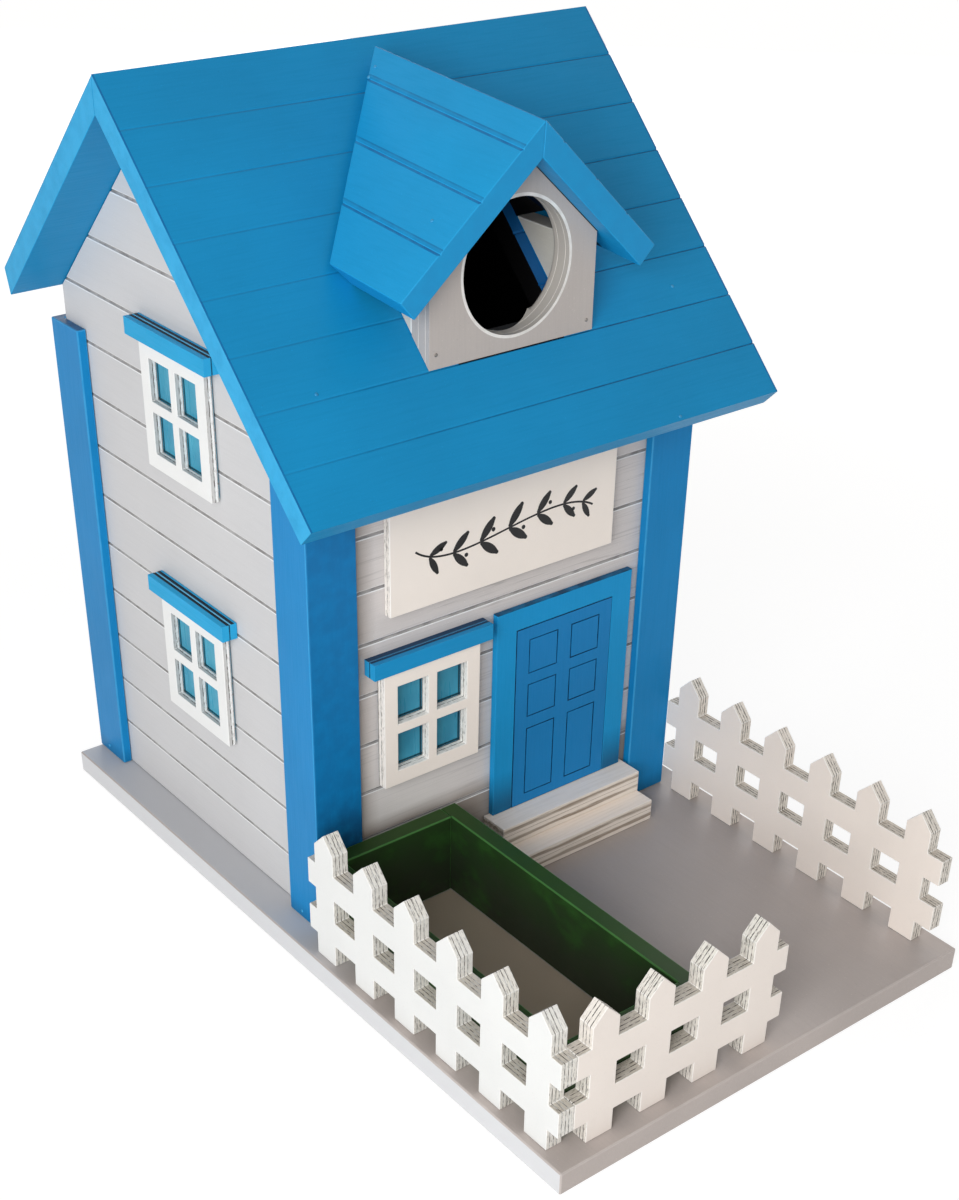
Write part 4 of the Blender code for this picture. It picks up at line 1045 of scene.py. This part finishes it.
# %% Steps for the windows and lintels
WINDOW_BORDER = 0.0076
WINDOW_BAR = 0.0050
OUTLINE_WIDTH = 0.0010
LAYER_JOINT = 0.5
WALL_GAP = 0.86
DARK_FROM = 0.34
JOINT_FROM = 0.46
DARK_TO = 0.52
JOINT_TO = 0.54
LIGHT_TO = 0.64


def depth_scale(node, axis, side):
    """How deep a place lies behind a board's outer face, as a share, and the level of a share."""
    outer, inner = outer_and_inner(node, axis, side)
    depth_of = lambda middle: (middle[axis] - outer) / (inner - outer)
    level_at = lambda share: outer + (inner - outer) * share
    return depth_of, level_at


def opening_outlines(low, high, across):
    """The bands just inside the left and right and the top and bottom edges of a window's lights."""
    bands = []
    for axis in (across, Z_AXIS):
        half = (low[axis] + high[axis]) / 2
        left_light = (low[axis] + WINDOW_BORDER, half - WINDOW_BAR / 2)
        right_light = (half + WINDOW_BAR / 2, high[axis] - WINDOW_BORDER)
        for near, far in (left_light, right_light):
            bands.append((axis, near, near + OUTLINE_WIDTH))
            bands.append((axis, far - OUTLINE_WIDTH, far))
    return bands


def dress_pane(name, axis, paint):
    """Dress a pane, with a line of painted shadow just inside each light of its frame."""
    bands = opening_outlines(*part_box(name.replace("pane", "frame")), 1 - axis)
    levels = [(band[0], level) for band in bands for level in band[1:]]
    on_outline = lambda middle, facing: any(near < middle[line] < far for line, near, far in bands)
    dress(name, paint, 0.0001, prepare=slicer(levels), marks={"outline": on_outline})


def dress_frame(name, axis, side, paint):
    """Dress a frame of two layers, with its cut sides and the painted shadow next to the wall marked."""
    depth_of, level_at = depth_scale(name, axis, side)
    on_cut = cut_sides(axis, 0.3)
    marks = {
        "cut": on_cut,
        "layer": lambda middle, facing: on_cut(middle, facing) and depth_of(middle) < LAYER_JOINT,
        "gap": lambda middle, facing: on_cut(middle, facing) and depth_of(middle) > WALL_GAP,
    }
    seams = layer_planes(name, axis, (LAYER_JOINT,))
    dress(
        name, paint, 0.00025, marks=marks, seams=seams, half=PLY_SEAM_HALF,
        prepare=slicer([(axis, level_at(WALL_GAP))]),
    )


def dress_lintel(name, axis, side, paint, dark_to):
    """Dress a lintel of two battens, with the lines that its joints draw on the top and the ends, and
    painted shade on the top towards the wall.
    """
    depth_of, level_at = depth_scale(name, axis, side)
    amid = lambda middle, near, far: near < depth_of(middle) < far
    dark = lambda middle: amid(middle, DARK_FROM, DARK_TO) or amid(middle, LIGHT_TO, dark_to)
    on_end = lambda facing: abs(facing[1 - axis]) > 0.9
    marks = {
        "dark": lambda middle, facing: facing.z > 0.5 and dark(middle),
        "light": lambda middle, facing: facing.z > 0.5 and amid(middle, JOINT_TO, LIGHT_TO),
        "end": lambda middle, facing: on_end(facing),
        "seam": lambda middle, facing: on_end(facing) and amid(middle, JOINT_FROM, JOINT_TO),
    }
    levels = [(axis, level_at(share)) for share in (DARK_FROM, JOINT_FROM, JOINT_TO, LIGHT_TO, WALL_GAP)]
    dress(name, paint, 0.00035, marks=marks, prepare=slicer(levels))


print("steps for windows ready")

# %% Dress the windows
dress_pane("window_front_pane", Y_AXIS, front_pane_paint)
dress_frame("window_front_frame", Y_AXIS, -1, front_frame_paint)
dress_lintel("lintel_front", Y_AXIS, -1, lintel_paint, 1.0)
for place in ("left_lower", "left_upper", "right_lower", "right_upper"):
    side = -1 if place.startswith("left") else 1
    dress_pane("window_" + place + "_pane", X_AXIS, pane_paint)
    dress_frame("window_" + place + "_frame", X_AXIS, side, side_frame_paint)
    dress_lintel("lintel_" + place, X_AXIS, side, side_lintel_paint, WALL_GAP)

# %% [markdown]
# ## Door, steps and sign
# The door's panels are engraved lines, whose faces are painted dark as painted shadow, and the gap
# round the slab is painted as a dark line of shadow, so its side faces are marked. The frame's top is
# dark too: partly dirt against the wall, partly painted shadow.

# %% Dress the door, the steps and the sign
SLAB_RIM = 0.002
LINE_FROM = 0.0001
LINE_TO = 0.0010
TOP_ROUND = 0.0004
frame_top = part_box("door_frame")[1].z
slab_low, slab_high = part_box("door_slab")


def is_panel_line(place):
    """Whether a place is well inside the slab's rim, where its engraved panel lines are."""
    across = slab_low.x + SLAB_RIM < place.x < slab_high.x - SLAB_RIM
    return across and slab_low.z + SLAB_RIM < place.z < slab_high.z - SLAB_RIM


marks = {"shade": lambda middle, facing: middle.z > frame_top - TOP_ROUND and facing.z > 0.3}
dress("door_frame", door_frame_paint, 0.0003, marks=marks)
marks = {
    "groove": lambda middle, facing: slab_low.y + LINE_FROM < middle.y < slab_low.y + LINE_TO,
    "shade": lambda middle, facing: facing.y > -0.97 and not is_panel_line(middle),
}
dress("door_slab", door_paint, 0.0005, marks=marks, joint=is_panel_line)
for name in ("step_lower", "step_upper"):
    seams = layer_planes(name, Z_AXIS, (0.3, 0.55, 0.78))
    dress(name, step_ply, 0.0004, marks={"cut": cut_sides(Z_AXIS, 0.4)}, seams=seams)
marks = {"cut": cut_sides(Y_AXIS, 0.3)}
seams = layer_planes("sign_board", Y_AXIS, (0.5,))
dress("sign_board", sign_paint, 0.00035, marks=marks, seams=seams, half=PLY_SEAM_HALF)

# %% [markdown]
# ## Base, planter and fences
# The base board is one slab with a soft painted edge. Its top is sliced along the planter's inner
# sides, so that the soil stain there can have its own faces; the rest of the top is marked for the
# strip beside the wall, which gets a cooler painted light. Its left side is painted lighter, as
# painted light, and its top darker towards the house, as painted shade. A fence is one plywood sheet
# cut to pickets and rails, so each cut side shows the same layers.

# %% Dress the base, the planter and the fences
CORNER_GAP = 0.0004
NEAR_CORNER = 0.001
IN_JOINT = 0.0001
bed_low = Vector((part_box("planter_left")[1].x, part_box("planter_front")[1].y, 0.0))
bed_high = Vector((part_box("planter_right")[0].x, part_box("planter_rear")[0].y, 0.0))
bed_sides = [(X_AXIS, bed_low.x), (X_AXIS, bed_high.x)]
bed_ends = [(Y_AXIS, bed_low.y), (Y_AXIS, bed_high.y)]


def in_bed(middle, facing):
    """Whether a face is part of the bed inside the planter."""
    across = bed_low.x < middle.x < bed_high.x
    return across and bed_low.y < middle.y < bed_high.y and facing.z > 0.9


def close_corners(piece):
    """Draw the ends of a cross board out to the long boards."""
    for side, level in ((-1, bed_low.x), (1, bed_high.x)):
        at_end = lambda place: abs(place.x - level) < NEAR_CORNER
        shift_some(piece, at_end, (side * CORNER_GAP, 0.0, 0.0))


def in_corner(place):
    """Whether a place is on a planter joint, which the stain has covered, so no edge shows."""
    at_wall = min(abs(place.x - bed_low.x), abs(place.x - bed_high.x)) < IN_JOINT
    return at_wall and not bed_low.y + IN_JOINT < place.y < bed_high.y - IN_JOINT


marks = {"bed": in_bed, "side": faces(-along_axis(X_AXIS), 0.9), "strip": faces(UP, 0.9)}
dress("base_board", base_paint, 0.00025, marks=marks, prepare=slicer(bed_sides + bed_ends))
planter = {
    "planter_left": slicer(bed_ends),
    "planter_right": slicer(bed_ends),
    "planter_front": close_corners,
    "planter_rear": close_corners,
}
for name, step in planter.items():
    marks = {"top": faces(UP, 0.95)}
    dress(name, planter_stain, 0.0007, marks=marks, prepare=step, joint=in_corner)
fences = {
    "fence_left": (X_AXIS, left_fence_paint),
    "fence_front": (Y_AXIS, front_fence_paint),
    "fence_right": (X_AXIS, right_fence_paint),
}
for name, (axis, paint) in fences.items():
    marks = {"cut": cut_sides(axis, 0.5), "top": faces(UP, 0.95)}
    seams = layer_planes(name, axis, (0.22, 0.46, 0.68))
    dress(name, paint, 0.0003, marks=marks, seams=seams, half=PLY_SEAM_HALF)

# %% [markdown]
# ## Clean-out door and its fittings
# The rear door is cut from the rear wall, so its planks line up with it. The zinc leaves and pins,
# the catch plate, the magnet and the knob have the right shape already: they stay as CAD nodes and
# only get a finish.

# %% Dress the clean-out door
marks = wall_marks("cleanout_door", Y_AXIS, 1)
dress("cleanout_door", rear_wall_paint, WALL_EDGE, "cleanout_door", marks)
for name in nodes:
    if name.startswith("hinge") or name == "catch_plate":
        nodes[name].data.materials.clear()
        nodes[name].data.materials.append(zinc)
nodes["catch_magnet"].data.materials[0] = magnet_plastic
nodes["cleanout_knob"].data.materials[0] = knob_paint

# %% [markdown]
# ## Nails and screws
# Small domed nail heads hold the roof panels, the dormer board and the posts, and two cross-slotted
# screws hold each hinge leaf. Each kind is modelled once at the origin with its head along +Z. A
# copy with its own mesh is then turned to the board's face and moved there, mesh and all, so that
# the object itself stays at the origin.

# %% Model a nail head and a screw head
HEAD_SUNK = 0.0001
NAIL_RADIUS = 0.0008
NAIL_HEIGHT = 0.00035
SCREW_RADIUS = 0.0019
SCREW_HEIGHT = 0.0007
SLOT_LENGTH = 0.0024
SLOT_WIDTH = 0.00045


def thin_disc(name, radius, thickness, sides, level):
    """A thin closed disc about the Z axis, with its middle at a level."""
    place = (0.0, 0.0, level)
    bpy.ops.mesh.primitive_cylinder_add(vertices=sides, radius=radius, depth=thickness, location=place)
    disc = bpy.context.active_object
    disc.name = name
    bpy.ops.object.transform_apply(location=True, rotation=True, scale=True)
    return disc


def domed_head(name, radius, height, sides):
    """A shallow dome with a round rim, from a thin disc whose top is raised in four rings."""
    head = thin_disc(name, radius, HEAD_SUNK * 2, sides, 0.0)
    edit_some(head, lambda place: place.z > 0)
    bpy.ops.mesh.select_mode(type="FACE")
    for share, lift in ((0.06, 0.45), (0.24, 0.33), (0.28, 0.16), (0.20, 0.06)):
        bpy.ops.mesh.inset(thickness=radius * share, depth=height * lift)
    close_edit()
    edit_all(head)
    bpy.ops.mesh.normals_make_consistent(inside=False)
    close_edit()
    only(head)
    bpy.ops.object.shade_smooth_by_angle(angle=math.radians(50))
    return head


def cut_cross(head, length, width, depth):
    """Sink a cross slot into a head with a Boolean modifier."""
    for turn in (0.0, math.pi / 2):
        bpy.ops.mesh.primitive_cube_add(size=1.0, location=(0.0, 0.0, head.dimensions.z))
        cutter = bpy.context.active_object
        resize_all(cutter, (length, width, depth * 2))
        cutter.data.transform(Matrix.Rotation(turn, 4, "Z"))
        only(head)
        slot_cut = head.modifiers.new("slot", "BOOLEAN")
        slot_cut.operation = "DIFFERENCE"
        slot_cut.solver = "EXACT"
        slot_cut.object = cutter
        bpy.ops.object.modifier_apply(modifier=slot_cut.name)
        bpy.data.objects.remove(cutter)


nail_model = domed_head("nail_model", NAIL_RADIUS, NAIL_HEIGHT, 20)
screw_model = domed_head("screw_model", SCREW_RADIUS, SCREW_HEIGHT, 32)
cut_cross(screw_model, SLOT_LENGTH, SLOT_WIDTH, SCREW_HEIGHT * 0.6)
print("nail faces:", len(nail_model.data.polygons), "screw faces:", len(screw_model.data.polygons))

# %% Place the nails and the screws
POST_NAIL_BACK = 0.0025
POST_NAIL_HEIGHT = 0.0162
LEAF_FACE = 0.2011
SCREW_FROM_EDGE = 0.0045
SCREW_SHARES = (0.27, 0.73)


def place_head(model, name, place, outward, material, body="house"):
    """A copy of a head with its own mesh, turned to face outward at a place."""
    head = own_copy(model, name)
    turned = outward.to_track_quat("Z", "Y").to_matrix().to_4x4()
    head.data.transform(Matrix.Translation(place) @ turned)
    finish_piece(head, material, body)


left, right = roof_low.x + 0.0302, roof_high.x - 0.0303
inner = roof_high.x - 0.0611
dormer_nails = ((0.1060, 0.0089), (0.1050, 0.0141), (0.0159, 0.0567))
roof_nails = {
    "roof_front": ((left, 0.1508), (right, 0.1433), (inner, 0.2028)),
    "roof_rear": ((left, 0.1180), (right, 0.1130), (inner, 0.1340)),
    "dormer_roof_left": dormer_nails,
    "dormer_roof_right": dormer_nails,
}
for node, runs in roof_nails.items():
    point, normal, downhill = roof_planes[node]
    for index, (run, lower) in enumerate(runs):
        start = Vector((run, point.y, point.z))
        if node.startswith("dormer"):
            start = ridge_front + along_dormer * run
        place = start + downhill * lower
        place = place - normal * (place - point).dot(normal)
        place_head(nail_model, node + "_nail_%d" % index, place, normal, painted_nail)
for index, (x, z) in enumerate(((-0.0415, 0.2836), (0.0414, 0.2822))):
    place = Vector((x, board_low.y, z))
    place_head(nail_model, "board_nail_%d" % index, place, FRONT, nail_steel)
for name in posts:
    low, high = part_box(name)
    side = -1 if low.x < 0 else 1
    face, _ = outer_and_inner(name, X_AXIS, side)
    place = Vector((face, (low.y + high.y) / 2 + POST_NAIL_BACK, POST_NAIL_HEIGHT))
    place_head(nail_model, name + "_nail", place, Vector((side, 0.0, 0.0)), painted_nail)
for hinge in ("hinge_lower", "hinge_upper"):
    for leaf, body in (("door_leaf", "cleanout_door"), ("wall_leaf", "house")):
        low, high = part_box(hinge + "_" + leaf)
        x = low.x + SCREW_FROM_EDGE if leaf == "door_leaf" else high.x - SCREW_FROM_EDGE
        for index, share in enumerate(SCREW_SHARES):
            place = Vector((x, LEAF_FACE, low.z + (high.z - low.z) * share))
            name = hinge + "_" + leaf + "_screw_%d" % index
            place_head(screw_model, name, place, along_axis(Y_AXIS), zinc, body)
for model in (nail_model, screw_model):
    bpy.data.objects.remove(model)
print("nails and screws placed")

# %% [markdown]
# ## The motif on the sign
# The sign carries a plain black sprig, in place of any picture: a curved stem, pairs of leaves that
# shrink towards its tips, and round berries. It could be a drawn image, but thin shapes laid on the
# board stay sharp at any distance. One leaf is shaped from a thin disc that is squeezed, with its
# ends drawn out to points. The stem is a Bezier curve with a round section, turned into a mesh and
# flattened.

# %% Shape one leaf, one berry and the stem
INK_PROUD = 0.00012
LEAF_LENGTH = 0.0132
LEAF_TRIM = 0.86
LEAF_SPREAD = 0.34
BERRY_RADIUS = 0.0011
STEM_RADIUS = 0.00048

leaf_model = thin_disc("leaf_model", LEAF_LENGTH / 2, INK_PROUD, 32, INK_PROUD / 2)
resize_all(leaf_model, (LEAF_TRIM, LEAF_SPREAD, 1.0))
for side in (-1, 1):
    for reach, draw in ((0.80, 1.035), (0.92, 1.06), (0.99, 1.10)):
        limit = LEAF_LENGTH / 2 * LEAF_TRIM * reach
        shift_some(leaf_model, lambda place: place.x * side > limit, (side * limit * (draw - 1), 0.0, 0.0))
berry_model = thin_disc("berry_model", BERRY_RADIUS, INK_PROUD, 20, INK_PROUD / 2)

bpy.ops.curve.primitive_bezier_curve_add(location=(0.0, 0.0, 0.0))
stem_curve = bpy.context.active_object
stem_curve.data.bevel_depth = STEM_RADIUS
stem_curve.data.bevel_resolution = 2
stem_curve.data.use_fill_caps = True
spline = stem_curve.data.splines[0]
stem_points = (
    (Vector((-0.052, 0.0035, 0.0)), Vector((-0.030, -0.0150, 0.0))),
    (Vector((0.052, -0.0010, 0.0)), Vector((0.026, 0.0150, 0.0))),
)
for point, (place, handle) in zip(spline.bezier_points, stem_points):
    point.handle_left_type = "FREE"
    point.handle_right_type = "FREE"
    point.co = place
    point.handle_left = handle
    point.handle_right = handle
spline.resolution_u = 40
only(stem_curve)
bpy.ops.object.convert(target="MESH")
stem = bpy.context.active_object
stem.name = "sign_stem"
edit_all(stem)
bpy.ops.transform.resize(value=(1.0, 1.0, INK_PROUD / STEM_RADIUS / 2))
bpy.ops.transform.translate(value=(0.0, 0.0, INK_PROUD / 2))
close_edit()
print("leaf faces:", len(leaf_model.data.polygons), "stem faces:", len(stem.data.polygons))

# %% [markdown]
# The leaves and berries are copies that are turned along the stem. The whole motif is then stood
# up against the sign's face by one matrix.

# %% Lay the motif on the sign
LEAF_SHARES = (0.10, 0.24, 0.38, 0.52, 0.66, 0.80, 0.92)
LEAF_TURN = math.radians(44)
LEAF_GAP = 0.0006
BERRY_SHARES = (0.17, 0.31, 0.45, 0.59, 0.73, 0.87)
BERRY_OFFSET = 0.0032
low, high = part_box("sign_board")
sign_middle = Vector(((low.x + high.x) / 2, low.y, (low.z + high.z) / 2))
onto_sign = Matrix.Translation(sign_middle) @ Matrix.Rotation(math.pi / 2, 4, "X")


def on_stem(share):
    """A place on the stem at a share of its length, and the direction there."""
    (start, first), (end, second) = stem_points
    rest = 1 - share
    place = start * rest ** 3 + end * share ** 3
    place += first * 3 * rest ** 2 * share + second * 3 * rest * share ** 2
    way = (first - start) * 3 * rest ** 2 + (end - second) * 3 * share ** 2
    way += (second - first) * 6 * rest * share
    return place, way.normalized()


def lay_ink(model, name, place, turn, size):
    """Lay a copy of a flat shape on the sign, turned and scaled about its own middle."""
    shape = own_copy(model, name)
    turned = Matrix.Translation(place) @ Matrix.Rotation(turn, 4, "Z")
    shape.data.transform(onto_sign @ turned @ Matrix.Diagonal((size, size, 1.0, 1.0)))
    finish_piece(shape, ink)


leaves = 0
for share in LEAF_SHARES:
    place, way = on_stem(share)
    size = 1.0 - 0.75 * abs(share - 0.46) ** 1.2
    for side in (-1, 1):
        turn = math.atan2(way.y, way.x) + side * LEAF_TURN
        reach = LEAF_LENGTH / 2 * size + LEAF_GAP
        middle = place + Vector((math.cos(turn), math.sin(turn), 0.0)) * reach
        lay_ink(leaf_model, "sign_leaf_%02d" % leaves, middle, turn, size)
        leaves += 1
for index, share in enumerate(BERRY_SHARES):
    place, way = on_stem(share)
    across = Vector((-way.y, way.x, 0.0)) * (-1) ** index
    size = 1.0 - 0.4 * abs(share - 0.5)
    lay_ink(berry_model, "sign_berry_%d" % index, place + across * BERRY_OFFSET, 0.0, size)
stem.data.transform(onto_sign)
finish_piece(stem, ink)
for model in (leaf_model, berry_model):
    bpy.data.objects.remove(model)
print("leaves:", leaves)

# %% [markdown]
# ## Floor and light
# A pale floor under the object keeps its soft shadow. One large soft lamp stands to the left, as
# in the photograph, where faces to the left are the brightest; a second one behind the house lights
# the faces that the photograph doesn't show, and the white world fills the rest. The floor's white
# comes from its own colour as the camera sees it: a little light of its own, more of it far out,
# and a grey share that still takes the shadow.

# %% Floor
FLOOR_HALF = 12.0
FLOOR_TONE = 0.86
FLOOR_NEAR = 0.45
FLOOR_FAR = 1.6
FLOOR_GLOW_NEAR = 0.80
FLOOR_GLOW_FAR = 0.885
FLOOR_SHADOW_SHARE = 0.30
WHITE = (1.0, 1.0, 1.0, 1.0)
bpy.ops.mesh.primitive_plane_add(size=2 * FLOOR_HALF, location=(0.0, 0.0, 0.0))
floor = bpy.context.active_object
floor.name = "floor"


def seen_directly(tree):
    """1 for rays from the camera and for those that gloss or glass passes on, else 0."""
    path = add_node(tree, "LightPath")
    both = calculate(tree, "ADD", path.outputs["Is Camera Ray"], path.outputs["Is Glossy Ray"])
    added = calculate(tree, "ADD", both, path.outputs["Is Transmission Ray"])
    return calculate(tree, "MINIMUM", added, 1.0)


material, tree, shader = start_material("floor_card", specular=0.1)
shader.inputs["Base Color"].default_value = (*[FLOOR_TONE] * 3, 1.0)
shader.inputs["Roughness"].default_value = 0.9
away = add_node(tree, "VectorMath", {0: object_place(tree)}, operation="LENGTH").outputs["Value"]
glow = between(tree, away, FLOOR_NEAR, FLOOR_FAR, FLOOR_GLOW_NEAR, FLOOR_GLOW_FAR)
white = add_node(tree, "Emission", {"Color": WHITE, "Strength": glow})
shadowed = add_node(tree, "BsdfDiffuse", {"Color": (*[FLOOR_SHADOW_SHARE] * 3, 1.0)})
card = add_node(tree, "AddShader", {0: white.outputs[0], 1: shadowed.outputs[0]})
mixed = add_node(tree, "MixShader", {0: seen_directly(tree), 1: shader.outputs[0], 2: card.outputs[0]})
tree.links.new(mixed.outputs[0], tree.nodes["Material Output"].inputs["Surface"])
floor.data.materials.append(material)
print("floor half-width:", FLOOR_HALF)

# %% World and lamps
AMBIENT = 0.38
AMBIENT_TINT = (1.0, 0.965, 0.93)
LAMPS_AIM = Vector((0.0, -0.05, 0.15))
world = bpy.data.worlds.new("studio")
scene.world = world
world.use_nodes = True
tree = world.node_tree
ambient = (*[value * AMBIENT for value in AMBIENT_TINT], 1.0)
tone = mix_colour(tree, seen_directly(tree), ambient, WHITE)
tree.links.new(tone, tree.nodes["Background"].inputs["Color"])


def softbox(name, place, size, watts, tint):
    """A square area lamp that faces the middle of the house."""
    lamp = bpy.data.lights.new(name, "AREA")
    lamp.size = size
    lamp.energy = watts
    lamp.color = tint
    holder = bpy.data.objects.new(name, lamp)
    scene.collection.objects.link(holder)
    holder.location = place
    holder.rotation_mode = "QUATERNION"
    holder.rotation_quaternion = (LAMPS_AIM - Vector(place)).to_track_quat("-Z", "Y")


softbox("key", (-1.060, -0.762, 0.64), 0.8, 14.4, (0.97, 0.99, 1.0))
softbox("rear_fill", (1.3, 1.4, 0.6), 1.5, 15.8, (1.0, 1.0, 1.0))
scene.view_settings.view_transform = "Standard"
print("lights:", [light.name for light in bpy.data.lights])
